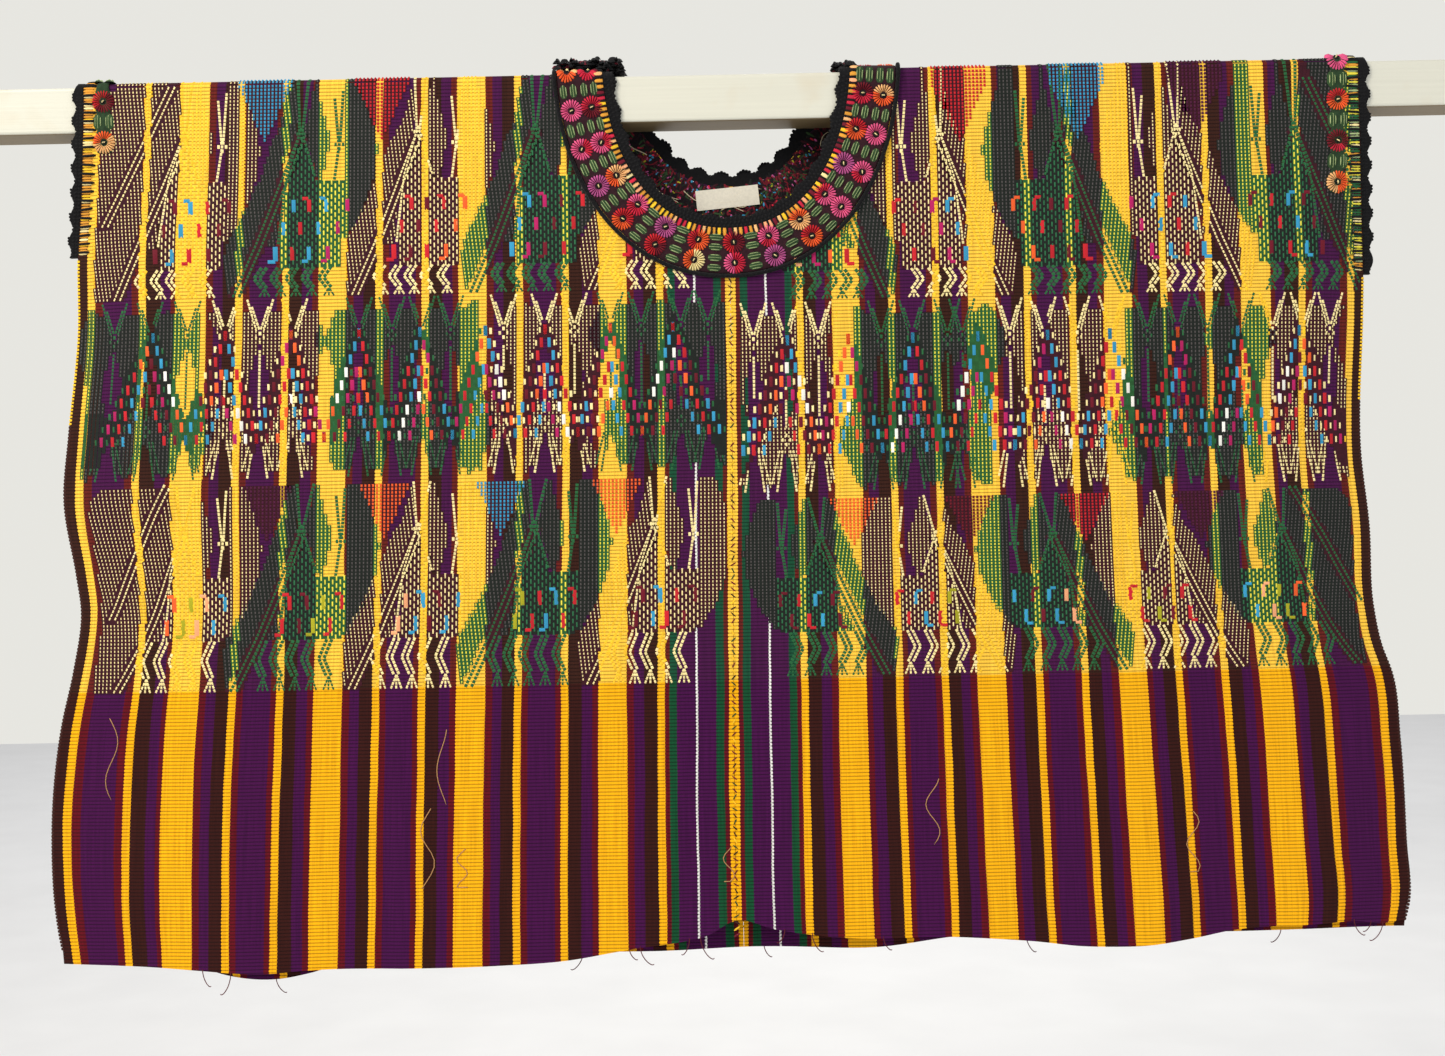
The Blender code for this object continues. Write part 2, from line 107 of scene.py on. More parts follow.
def linear(code: str) -> tuple[float, float, float, float]:
    """Turn an sRGB hex code into linear red, green, blue and alpha.

    Args:
        code: the colour as #RRGGBB.
    Returns:
        The four linear values.
    """
    srgb = np.array([int(code[i:i + 2], 16) for i in (1, 3, 5)]) / 255
    value = np.where(srgb <= 0.04045, srgb / 12.92, ((srgb + 0.055) / 1.055) ** 2.4)
    return (*value.tolist(), 1.0)


def add_node(tree: bpy.types.NodeTree, kind: str, settings: dict | None = None,
             links: dict | None = None) -> bpy.types.Node:
    """Add a shader node with its settings and its incoming links.

    Args:
        tree: the node tree.
        kind: the node's type name.
        settings: values by socket name or number, or by the node's own property.
        links: outputs of other nodes by this node's socket name or number.
    Returns:
        The new node.
    """
    node = tree.nodes.new(kind)
    for key, value in (settings or {}).items():
        if isinstance(key, int) or key in node.inputs:
            node.inputs[key].default_value = value
        else:
            setattr(node, key, value)
    for key, source in (links or {}).items():
        tree.links.new(source, node.inputs[key])
    return node


def ease(value: np.ndarray) -> np.ndarray:
    """Smooth step from 0 to 1: t squared times (3 - 2t) of the clipped value."""
    t = np.clip(value, 0.0, 1.0)
    return t * t * (3 - 2 * t)


@dataclass(frozen=True)
class Profile:
    """A smooth curve through a short table of places and values, both in millimetres."""

    rows: tuple[tuple[float, float], ...]

    def __call__(self, at: np.ndarray) -> np.ndarray:
        """Read the curve: cubic Hermite pieces whose slopes are the table's own gradients.

        Args:
            at: places in metres; past the table's ends the end value holds.
        Returns:
            Values in metres.
        """
        table = np.array(sorted(self.rows)) * MM
        knots, values = table.T
        slopes = np.gradient(values, knots)
        at = np.clip(at, knots[0], knots[-1])
        i = np.clip(np.searchsorted(knots, at) - 1, 0, len(knots) - 2)
        step = knots[i + 1] - knots[i]
        t = (at - knots[i]) / step
        return (values[i] * (2 * t**3 - 3 * t**2 + 1) + values[i + 1] * (3 * t**2 - 2 * t**3)
                + step * (slopes[i] * (t**3 - 2 * t**2 + t) + slopes[i + 1] * (t**3 - t**2)))


@dataclass(frozen=True)
class ClothForm:
    """How the blouse hangs over the batten: the shape that every sewn piece follows."""

    gap: float = 0.3 * MM
    cloth: float = 2.0 * MM
    rod_side: float = 34 * MM
    rod_edge: float = 2.5 * MM
    drop: float = 620 * MM
    lens_top: float = 90 * MM
    lens_hem: float = 210 * MM
    seam_drift: float = -5 * MM
    drift_from: float = -100 * MM
    drift_depth: float = 500 * MM
    corner_ease: float = 0.8 * MM
    corner_spread: float = 8 * MM
    far_side: float = 0.0125
    left_edge: Profile = Profile(((20, -468), (-65, -472), (-105, -475), (-160, -476),
                                  (-235, -484.5), (-285, -489), (-340, -481), (-365, -478),
                                  (-410, -484.5), (-450, -494), (-535, -503), (-606, -499),
                                  (-622, -496)))
    right_edge: Profile = Profile(((20, 460.5), (-100, 461.5), (-137, 461.5), (-167, 460.5),
                                   (-268, 457), (-322, 462), (-382, 464), (-411, 469.5),
                                   (-431, 476.5), (-480, 481.5), (-558, 484.5), (-602, 485.5),
                                   (-614, 482.5)))
    front_hem: Profile = Profile(((-500, -626), (-442, -628), (-398, -631), (-350, -634),
                                  (-322, -632.5), (-229, -632), (-179, -631), (-133, -629),
                                  (-75, -620), (-43, -616), (-28, -613), (-6, -602),
                                  (23, -609), (76, -616),
                                  (158, -617.5), (216, -622.5), (246, -626), (310, -624),
                                  (330, -622), (360, -617.5), (418, -614.5), (457, -614),
                                  (468, -616), (482.5, -614.5)))
    back_hem: Profile = Profile(((-500, -620), (-440, -626), (-412, -631), (-388, -640),
                                 (-350, -644), (-325, -640), (-296, -632), (-200, -629),
                                 (-60, -629), (0, -627), (105, -629),
                                 (160, -622), (300, -624), (482.5, -619)))
    middle_gap: Profile = Profile(((-17, 18.3), (-120, 17), (-350, 14), (-645, 12)))
    # Large folds: middle x, spread, rise, height where it starts, drift towards the hem
    front_folds: tuple = ((-395, 34, 3.0, -330, 12), (-300, 40, -2.5, -260, 6),
                          (-190, 46, 2.0, -380, 0), (-60, 30, 2.2, -420, -4),
                          (70, 34, 2.0, -430, 4), (205, 30, -2.0, -300, 10),
                          (262, 24, 6.0, -250, 34), (325, 30, -4.0, -280, 40),
                          (400, 30, 3.0, -330, 24))
    back_folds: tuple = ((-380, 40, 4.0, -340, -14), (-250, 44, -3.0, -260, 8),
                         (-110, 36, 3.0, -380, 6), (60, 34, 2.5, -400, -6),
                         (180, 40, -3.0, -300, 12), (310, 38, 4.0, -280, 16),
                         (415, 30, -2.0, -360, 10))
    # Creases: middle x, middle height, lean in degrees, half length, half width, rise
    front_creases: tuple = ((-262, -520, 1, 105, 5, -0.9), (-250, -520, 1, 105, 7, 0.7),
                            (-415, -330, -12, 70, 9, 1.0), (-330, -180, 8, 60, 10, -0.8),
                            (-150, -240, -6, 80, 9, 0.9), (-95, -330, 4, 90, 8, -0.8),
                            (-455, -230, -6, 90, 8, -1.1), (-440, -560, 10, 60, 8, 1.0),
                            (120, -220, 9, 70, 9, -0.9), (190, -300, -8, 90, 10, 1.0),
                            (300, -180, -12, 60, 9, 0.8), (352, -430, 9, 90, 9, -1.2),
                            (430, -330, 7, 90, 8, 1.0), (445, -560, -10, 60, 7, -1.0),
                            (60, -520, -4, 90, 8, 0.8), (-30, -480, 3, 90, 7, -0.8))
    back_creases: tuple = ((-300, -500, 2, 110, 8, -1.0), (-410, -300, 10, 80, 9, 0.9),
                           (-180, -260, -7, 80, 10, 0.9), (-60, -360, 5, 90, 8, -0.9),
                           (110, -280, 8, 80, 9, 0.9), (230, -420, -6, 100, 9, -1.1),
                           (330, -230, 10, 70, 9, 0.8), (420, -470, 6, 90, 8, 1.0))

    @property
    def flat_top(self) -> float:
        """Half of the flat part of the fold."""
        return self.rod_side / 2 - self.rod_edge

    @property
    def bend(self) -> float:
        """Radius of the cloth's middle round the batten's edges."""
        return self.rod_edge + self.gap + self.cloth / 2

    @property
    def hang_run(self) -> float:
        """Run at which the cloth starts to hang straight down."""
        return self.flat_top + pi / 2 * self.bend

    def run_at(self, height: np.ndarray) -> np.ndarray:
        """Length along the cloth from the fold to a height on its hanging part."""
        return self.hang_run + self.flat_top - height

    def height_at(self, run: np.ndarray) -> np.ndarray:
        """Height of the cloth at a run, held level on top of the batten."""
        return np.minimum(self.hang_run + self.flat_top - np.abs(run), 20 * MM)

    def edge(self, side: Side, height: np.ndarray) -> np.ndarray:
        """Outer edge of a panel at a height.

        The profiles are read in the plane of the batten's front. Below the armholes the walls
        close to the middle plane, further from the camera, so the edge is a little further out.

        Args:
            side: the panel.
            height: heights on its hanging part.
        Returns:
            x in metres.
        """
        profile = self.left_edge if side is Side.LEFT else self.right_edge
        depth = (-self.rod_side / 2 - height) / (-self.rod_side / 2 - ARMHOLES[side].end)
        return profile(height) * (1 + self.far_side * ease(depth))

    def outer_edge(self, x: np.ndarray, height: np.ndarray) -> np.ndarray:
        """Outer edge of the panel that holds x, at a height."""
        return np.where(x < 0, self.edge(Side.LEFT, height), self.edge(Side.RIGHT, height))

    def inner_edge(self, height: np.ndarray, front: np.ndarray) -> np.ndarray:
        """Place of the centre seam, which drifts a little on the front."""
        drift = self.seam_drift * ease((self.drift_from - height) / self.drift_depth)
        return np.where(front, drift, 0.0)

    def creases(self, x: np.ndarray, height: np.ndarray, rows: tuple) -> np.ndarray:
        """Sum of soft ridges: rise times a bell across each and a fading window along it.

        Args:
            x: places across the blouse.
            height: heights of the same points.
            rows: the table of creases of this face.
        Returns:
            The lift away from the batten.
        """
        total = np.zeros(np.broadcast(x, height).shape)
        for mid, level, lean, length, width, rise in rows:
            turn = np.radians(lean)
            dx, dz = x - mid * MM, height - level * MM
            across = dx * np.cos(turn) - dz * np.sin(turn)
            along = dx * np.sin(turn) + dz * np.cos(turn)
            total += (rise * MM * np.exp(-(across / (width * MM))**2)
                      * np.exp(-(along / (length * MM))**4))
        return total

    def side_gap(self, x: np.ndarray, height: np.ndarray, front: bool) -> np.ndarray:
        """Half the distance between the middles of the front and back walls.

        The full gap of the batten closes like a lens towards the side seams below the armholes,
        and the folds and creases fade out there too.

        Args:
            x: places across the blouse.
            height: heights of the same points.
            front: True for the front wall.
        Returns:
            Distance from the plane of the batten's axis.
        """
        edge = self.outer_edge(x, height)
        end = np.where(x < 0, ARMHOLES[Side.LEFT].end, ARMHOLES[Side.RIGHT].end)
        closing = ease((-self.rod_side / 2 - height) / (-self.rod_side / 2 - end))
        down = np.clip((end - height) / (self.drop + end), 0, 1)
        reach = self.lens_top + (self.lens_hem - self.lens_top) * down
        inset = np.clip((np.abs(edge) - np.abs(x)) / reach, 0, 1)
        keep = 1 - closing * (1 - inset) ** 2
        wave = self.creases(x, height, self.front_creases if front else self.back_creases)
        wave = wave * ease((-40 * MM - height) / (60 * MM))
        for mid, spread, rise, top, drift in self.front_folds if front else self.back_folds:
            grown = ease((top * MM - height) / (self.drop + top * MM))
            wave = wave + rise * MM * grown * np.exp(
                -((x - (mid + drift * grown) * MM) / (spread * MM))**2)
        half_seam = self.cloth / 2 + self.gap / 2
        return half_seam + (self.middle_gap(height) - half_seam + wave) * keep

    def middle(self, x: np.ndarray, run: np.ndarray) -> np.ndarray:
        """Point in the middle of the cloth's thickness.

        It runs level over the batten, turns round its edge on an arc, and hangs with the gap
        that side_gap gives.

        Args:
            x: places across the blouse.
            run: lengths along the cloth from the fold.
        Returns:
            Points, one row of three values for each place.
        """
        x, run = np.broadcast_arrays(np.asarray(x, float), np.asarray(run, float))
        length = np.abs(run)
        turn = np.clip((length - self.flat_top) / self.bend, 0, pi / 2)
        out = np.minimum(length, self.flat_top) + self.bend * np.sin(turn)
        height = (self.flat_top + self.bend * np.cos(turn)
                  - np.maximum(length - self.hang_run, 0))
        gap = np.where(run > 0, self.side_gap(x, height, True), self.side_gap(x, height, False))
        out = np.where(height < -self.rod_side / 2, gap, out)
        return np.stack((x, -np.sign(run) * out, height), axis=-1)

    def base(self, x: np.ndarray, run: np.ndarray) -> tuple[np.ndarray, ...]:
        """Point on the cloth with its unit directions across, up the cloth and outwards.

        Args:
            x: places across the blouse.
            run: lengths along the cloth from the fold.
        Returns:
            Point, across, up and normal, from differences over 0.4 mm.
        """
        step = 0.2 * MM
        point = self.middle(x, run)
        across = self.middle(x + step, run) - self.middle(x - step, run)
        down = self.middle(x, run + step) - self.middle(x, run - step)
        normal = np.cross(down, across)
        normal /= np.linalg.norm(normal, axis=-1, keepdims=True)
        across /= np.linalg.norm(across, axis=-1, keepdims=True)
        return point, across, np.cross(normal, across), normal

    def lifted(self, x: np.ndarray, run: np.ndarray, lift: np.ndarray) -> np.ndarray:
        """Point lifted from the middle of the cloth, outwards where lift is positive."""
        point, _, _, normal = self.base(x, run)
        return point + normal * np.asarray(lift)[..., None]

    def corner(self, run: np.ndarray) -> np.ndarray:
        """Extra height of stiff trim where it bends over the batten's edges."""
        middle = self.flat_top + pi / 4 * self.bend
        return self.corner_ease * np.exp(-((np.abs(run) - middle) / self.corner_spread)**2)


@dataclass(frozen=True)
class Armhole:
    """One armhole: where it ends, and its column of embroidered flowers."""

    side: Side
    end: float
    column_x: float
    flowers: int
    shift: float


ARMHOLES = {Side.LEFT: Armhole(Side.LEFT, -105 * MM, -454 * MM, 5, 0.0),
            Side.RIGHT: Armhole(Side.RIGHT, -137 * MM, 445 * MM, 7, 17 * MM)}
FORM = ClothForm()
FLOWER_PITCH = 29.5 * MM


@dataclass(frozen=True)
class NeckRing:
    """The round neck, as an offset frame along its cut edge on the flattened cloth."""

    half_width: float = 91 * MM
    front_run: float = 131 * MM
    back_run: float = 94 * MM
    front_fullness: float = 2.2
    back_fullness: float = 2.0
    pinch: float = 0.10
    pinch_angle: float = np.radians(42)
    pinch_spread: float = np.radians(20)
    band_width: float = 33 * MM
    samples: int = 1440

    def radius(self, angle: np.ndarray) -> np.ndarray:
        """Distance from the neck's centre to its edge: a superellipse, pinched at the back."""
        front = np.sin(angle) >= 0
        depth = np.where(front, self.front_run, self.back_run)
        power = np.where(front, self.front_fullness, self.back_fullness)
        oval = ((np.abs(np.cos(angle)) / self.half_width)**power
                + (np.abs(np.sin(angle)) / depth)**power)**(-1 / power)
        from_fold = np.arctan2(np.abs(np.sin(angle)), np.abs(np.cos(angle)))
        dent = self.pinch * np.exp(-((from_fold - self.pinch_angle) / self.pinch_spread)**2)
        return oval * np.where(front, 1.0, 1 - dent * ease(from_fold / self.pinch_angle))

    def half_width_at(self, run: np.ndarray) -> np.ndarray:
        """Half width of the neck opening at a signed run, zero past its ends."""
        angles = np.linspace(0, pi / 2, 361)
        result = np.zeros(np.shape(run))
        for sign in (1, -1):
            radii = self.radius(sign * angles)
            place, width = radii * np.sin(angles), radii * np.cos(angles)
            inside = (sign * run >= 0) & (sign * run < place[-1])
            result = np.where(inside, np.interp(sign * run, place, width), result)
        return result

    def frame(self) -> tuple[np.ndarray, np.ndarray, np.ndarray, float]:
        """Samples round the edge, with shares measured along the middle of the band.

        Returns:
            Edge points, outward directions, shares and the band's length.
        """
        angles = np.linspace(0, 2 * pi, self.samples, endpoint=False)
        radii = self.radius(angles)
        edge = np.stack((radii * np.cos(angles), radii * np.sin(angles)), axis=-1)
        along = np.roll(edge, -1, axis=0) - np.roll(edge, 1, axis=0)
        along /= np.linalg.norm(along, axis=-1, keepdims=True)
        outward = np.stack((along[:, 1], -along[:, 0]), axis=-1)
        middle = edge + outward * self.band_width / 2
        steps = np.linalg.norm(np.roll(middle, -1, axis=0) - middle, axis=-1)
        share = np.concatenate(((0,), np.cumsum(steps)))
        return edge, outward, share[:-1] / share[-1], float(share[-1])

    def place(self, share: np.ndarray, offset: np.ndarray) -> tuple[np.ndarray, ...]:
        """Place on the flattened cloth at a share of the way round, offset outwards.

        Args:
            share: share of the way round, any number, wrapped at 1.
            offset: distance outwards from the cut edge.
        Returns:
            x, run and the angle of the outward direction.
        """
        edge, outward, shares, _ = self.frame()
        x, run, out_x, out_run = (np.interp(share, shares, values, period=1.0) for values in
                                  (edge[:, 0], edge[:, 1], outward[:, 0], outward[:, 1]))
        return x + out_x * offset, run + out_run * offset, np.arctan2(-out_run, out_x)


RING = NeckRing()


@dataclass(frozen=True)
class Finish:
    """A matt or softly shining surface, with how it takes its colour."""

    name: str
    colour: str
    roughness: float
    sheen: float = 0.0
    grain: float = 0.5 * MM
    spread: float = 0.12
    relief: float = 0.15 * MM
    specular: float = 0.2

    def material(self) -> bpy.types.Material:
        """Build the finish: its colour with a fine change of tone, and a fine relief.

        Returns:
            The new material.
        """
        material = bpy.data.materials.new(self.name)
        material.use_nodes = True
        tree = material.node_tree
        shader = tree.nodes["Principled BSDF"]
        shader.inputs["Roughness"].default_value = self.roughness
        shader.inputs["Specular IOR Level"].default_value = self.specular
        shader.inputs["Sheen Weight"].default_value = self.sheen
        shader.inputs["Sheen Roughness"].default_value = 0.5
        place = add_node(tree, "ShaderNodeTexCoord").outputs["Object"]
        grain = add_node(tree, "ShaderNodeTexNoise", {"Scale": 1 / self.grain / 4, "Detail": 2.0},
                         {"Vector": place})
        tone = add_node(tree, "ShaderNodeMapRange",
                        {"From Min": 0.3, "From Max": 0.7, "To Min": 1 - self.spread,
                         "To Max": 1 + self.spread}, {"Value": grain.outputs["Fac"]})
        colour = add_node(tree, "ShaderNodeHueSaturation", {"Color": linear(self.colour)},
                          {"Value": tone.outputs["Result"]})
        bump = add_node(tree, "ShaderNodeBump", {"Strength": 0.6, "Distance": self.relief},
                        {"Height": grain.outputs["Fac"]})
        tree.links.new(colour.outputs["Color"], shader.inputs["Base Color"])
        tree.links.new(bump.outputs["Normal"], shader.inputs["Normal"])
        return material


# Stripes in millimetres and yarn colours, from the outer selvedge inwards
GOLD, PURPLE, WINE, UMBER = "#F7B00E", "#430B43", "#600C1A", "#35130F"
FOREST, CHALK = "#104A2B", "#E4E2DC"
OUTER_STRIPES = ((7.7, UMBER), (5.8, GOLD), (6.2, WINE), (22.5, PURPLE), (5.4, WINE), (5.6, GOLD),
                 (11.0, UMBER), (7.2, PURPLE), (3.6, WINE), (23.0, GOLD))
REPEAT_STRIPES = ((5.0, WINE), (7.0, PURPLE), (9.8, UMBER), (5.2, GOLD), (4.8, WINE),
                  (20.2, PURPLE), (4.0, WINE), (5.4, GOLD), (10.0, UMBER), (8.0, PURPLE),
                  (4.5, WINE), (21.5, GOLD))
INNER_STRIPES = ((4.9, WINE), (7.4, PURPLE), (10.0, UMBER), (5.5, GOLD), (3.1, WINE),
                 (5.8, FOREST), (13.6, PURPLE), (1.5, CHALK), (13.8, PURPLE), (5.8, FOREST),
                 (3.3, WINE), (3.6, GOLD))


def stripes_width(stripes: tuple) -> float:
    """Summed width of a run of stripes, in millimetres."""
    return sum(width for width, _ in stripes)


REPEATS = 3
PANEL_STRIPES = (stripes_width(OUTER_STRIPES) + REPEATS * stripes_width(REPEAT_STRIPES)
                 + stripes_width(INNER_STRIPES))


@dataclass(frozen=True)
class WovenCloth:
    """Warp-faced backstrap cotton.

    Hard-edged warp stripes, a cross rib every weft with painted shade in its troughs, single
    threads a little lighter or darker, and a dull surface with the faint bloom of washed cotton.
    """

    rib: float = 2.6
    warp: float = 1.1

    def ramp(self, tree: bpy.types.NodeTree, stripes: tuple, factor: bpy.types.NodeSocket
             ) -> bpy.types.NodeSocket:
        """Colour ramp with a hard step at each stripe's edge.

        Args:
            tree: the node tree.
            stripes: widths and colours in order.
            factor: the place along them, from 0 to 1.
        Returns:
            The colour socket.
        """
        node = add_node(tree, "ShaderNodeValToRGB", links={"Fac": factor})
        ramp = node.color_ramp
        ramp.interpolation = "CONSTANT"
        total = stripes_width(stripes)
        done = 0.0
        for index, (width, colour) in enumerate(stripes):
            if index < 2:
                point = ramp.elements[index]
                point.position = done / total
            else:
                point = ramp.elements.new(done / total)
            point.color = linear(colour)
            done += width
        return node.outputs["Color"]

    def material(self, name: str) -> bpy.types.Material:
        """Build the cloth's material on the UV map of warp share and run.

        Args:
            name: the material's name.
        Returns:
            The new material.
        """
        material = bpy.data.materials.new(name)
        material.use_nodes = True
        tree = material.node_tree
        shader = tree.nodes["Principled BSDF"]
        shader.inputs["Roughness"].default_value = 0.9
        shader.inputs["Specular IOR Level"].default_value = 0.12
        shader.inputs["Sheen Weight"].default_value = 0.02
        shader.inputs["Sheen Roughness"].default_value = 0.6

        def math(operation: str, first: object, second: object = 0.0) -> bpy.types.NodeSocket:
            """Math node on two sockets or numbers."""
            inputs = {0: first, 1: second}
            links = {k: v for k, v in inputs.items() if isinstance(v, bpy.types.NodeSocket)}
            values = {k: v for k, v in inputs.items() if k not in links}
            return add_node(tree, "ShaderNodeMath", {"operation": operation, **values},
                            links).outputs[0]

        uv = add_node(tree, "ShaderNodeUVMap", {"uv_map": "weave"}).outputs["UV"]
        split = add_node(tree, "ShaderNodeSeparateXYZ", links={"Vector": uv})
        across = math("MULTIPLY", split.outputs["X"], PANEL_STRIPES)
        run = math("MULTIPLY", split.outputs["Y"], 1000.0)
        stray = add_node(tree, "ShaderNodeTexNoise", {"Scale": 14.0, "Detail": 2.0}, {"Vector": uv})
        across = math("ADD", across, math("MULTIPLY", math("SUBTRACT", stray.outputs["Fac"], 0.5),
                                          2.4))
        ridge = math("ABSOLUTE", math("SINE", math("MULTIPLY", run, pi / self.rib)))
        across = math("ADD", across, math("MULTIPLY", ridge, 0.55))
        outer, repeat = stripes_width(OUTER_STRIPES), stripes_width(REPEAT_STRIPES)
        inner_from = outer + REPEATS * repeat
        past_outer = math("DIVIDE", math("SUBTRACT", across, outer), repeat)
        past_repeats = math("DIVIDE", math("SUBTRACT", across, inner_from),
                            stripes_width(INNER_STRIPES))
        colours = (self.ramp(tree, OUTER_STRIPES, math("DIVIDE", across, outer)),
                   self.ramp(tree, REPEAT_STRIPES, math("FRACT", past_outer)),
                   self.ramp(tree, INNER_STRIPES, past_repeats))
        repeated = add_node(tree, "ShaderNodeMix", {"data_type": "RGBA"},
                            {0: math("GREATER_THAN", across, outer), 6: colours[0], 7: colours[1]})
        striped = add_node(tree, "ShaderNodeMix", {"data_type": "RGBA"},
                           {0: math("GREATER_THAN", across, inner_from),
                            6: repeated.outputs[2], 7: colours[2]})
        threads = add_node(tree, "ShaderNodeCombineXYZ",
                           links={"X": math("DIVIDE", across, self.warp),
                                  "Y": math("DIVIDE", run, 60.0)})
        dye = add_node(tree, "ShaderNodeTexNoise", {"Scale": 1.0, "Detail": 1.0},
                       {"Vector": threads.outputs["Vector"]})
        # Painted shade: the weave's relief also darkens the colour, most in the rib troughs and a
        # little across the warp threads.
        groove = math("POWER", math("SUBTRACT", 1.0, ridge), 2.2)
        warp = math("SINE", math("MULTIPLY", across, 2 * pi / self.warp))
        weave = math("ADD", math("SUBTRACT", 1.0, groove), math("MULTIPLY", warp, 0.06))
        # Painted shade: maps the weave's relief to a colour factor from 0.5 in the troughs to 1.06
        # on the ribs.
        rib_trough_shade = add_node(tree, "ShaderNodeMapRange",
                         {"From Min": 0.2, "From Max": 1.0, "To Min": 0.5, "To Max": 1.06},
                         {"Value": weave})
        tone = math("MULTIPLY", rib_trough_shade.outputs["Result"],
                    add_node(tree, "ShaderNodeMapRange",
                             {"From Min": 0.3, "From Max": 0.7, "To Min": 0.86, "To Max": 1.14},
                             {"Value": dye.outputs["Fac"]}).outputs["Result"])
        length = math("ABSOLUTE", run)
        brocaded = math("LESS_THAN", length, 461.0)
        fuller = add_node(tree, "ShaderNodeHueSaturation", {"Hue": 0.515, "Saturation": 0.95,
                                                            "Value": 1.05},
                          {"Color": striped.outputs[2]})
        toned = add_node(tree, "ShaderNodeMix", {"data_type": "RGBA"},
                         {0: brocaded, 6: striped.outputs[2], 7: fuller.outputs["Color"]})
        colour = add_node(tree, "ShaderNodeHueSaturation", {"Saturation": 1.0},
                          {"Color": toned.outputs[2], "Value": tone})
        bump = add_node(tree, "ShaderNodeBump", {"Strength": 0.8, "Distance": 0.6 * MM},
                        {"Height": weave})
        tree.links.new(colour.outputs["Color"], shader.inputs["Base Color"])
        tree.links.new(bump.outputs["Normal"], shader.inputs["Normal"])
        return material


@dataclass(frozen=True)
class YarnFinish:
    """Soft spun cotton yarn: matt, with fine fibres that catch a little light at the edges."""

    yarn: Yarn

    def material(self) -> bpy.types.Material:
        """Yarn's colour with a tone for each stitch, read from its attribute, and a fine twist.

        Returns:
            The material, made once for each yarn.
        """
        name = f"cotton_yarn_{self.yarn.name.lower()}"
        known = bpy.data.materials.get(name)
        if known:
            return known
        material = bpy.data.materials.new(name)
        material.use_nodes = True
        tree = material.node_tree
        shader = tree.nodes["Principled BSDF"]
        shader.inputs["Roughness"].default_value = 0.75
        shader.inputs["Specular IOR Level"].default_value = 0.22
        shader.inputs["Sheen Weight"].default_value = 0.03
        shader.inputs["Sheen Roughness"].default_value = 0.5
        tone = add_node(tree, "ShaderNodeAttribute", {"attribute_name": "tone"})
        place = add_node(tree, "ShaderNodeTexCoord").outputs["Object"]
        twist = add_node(tree, "ShaderNodeTexNoise", {"Scale": 900.0, "Detail": 1.0},
                         {"Vector": place})
        colour = add_node(tree, "ShaderNodeHueSaturation", {"Color": linear(self.yarn.value)},
                          {"Value": tone.outputs["Fac"]})
        bump = add_node(tree, "ShaderNodeBump", {"Strength": 0.5, "Distance": 0.2 * MM},
                        {"Height": twist.outputs["Fac"]})
        tree.links.new(colour.outputs["Color"], shader.inputs["Base Color"])
        tree.links.new(bump.outputs["Normal"], shader.inputs["Normal"])
        return material


def add_mesh(name: str, points: np.ndarray, faces: list | np.ndarray, material: bpy.types.Material,
             sharp: float | None = None) -> bpy.types.Object:
    """Make a named piece from points and faces, riding on the part's one body.

    Args:
        name: the piece's name.
        points: one row of three metres for each point.
        faces: point numbers of each face.
        material: its material.
        sharp: angle in degrees past which an edge stays sharp.
    Returns:
        The new object.
    """
    mesh = bpy.data.meshes.new(name)
    rows = faces.tolist() if isinstance(faces, np.ndarray) else faces
    mesh.from_pydata(points.reshape(-1, 3), [], rows)
    mesh.materials.append(material)
    mesh.shade_smooth()
    if sharp is not None:
        mesh.set_sharp_from_angle(angle=np.radians(sharp))
    item = bpy.data.objects.new(name, mesh)
    bpy.context.scene.collection.objects.link(item)
    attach(item, "root")
    LOG.info("%s: %d faces", name, len(mesh.polygons))
    return item


def outward(points: np.ndarray, faces: np.ndarray) -> np.ndarray:
    """Turn a closed mesh's quads round if their signed volume is negative.

    Args:
        points: the mesh's points.
        faces: quads as point numbers.
    Returns:
        The quads, facing outwards.
    """
    a, b, c, d = (points.reshape(-1, 3)[faces[:, k]] for k in range(4))
    volume = np.einsum("ij,ij->i", a, np.cross(b, c)) + np.einsum("ij,ij->i", a, np.cross(c, d))
    return faces if volume.sum() > 0 else faces[:, ::-1]


def loft(name: str, sections: np.ndarray, closed: bool, material: bpy.types.Material,
         sharp: float | None = None) -> bpy.types.Object:
    """Join closed sections, each a loop of points, into one closed piece.

    Args:
        name: the piece's name.
        sections: points by section and place round it.
        closed: True if the last section joins the first, else the ends are capped.
        material: its material.
        sharp: angle in degrees past which an edge stays sharp.
    Returns:
        The new object.
    """
    count, size = sections.shape[:2]
    index = np.arange(count * size).reshape(count, size)
    rows = np.vstack((index, index[:1])) if closed else index
    after = np.roll(rows, -1, axis=1)
    quads = np.stack((rows[:-1], after[:-1], after[1:], rows[1:]), axis=-1).reshape(-1, 4)
    turned = outward(sections, quads)
    faces = turned.tolist()
    if not closed:
        flipped = turned[0, 0] != quads[0, 0]
        caps = (index[0][::-1], index[-1]) if not flipped else (index[0], index[-1][::-1])
        faces += [cap.tolist() for cap in caps]
    return add_mesh(name, sections, faces, material, sharp)


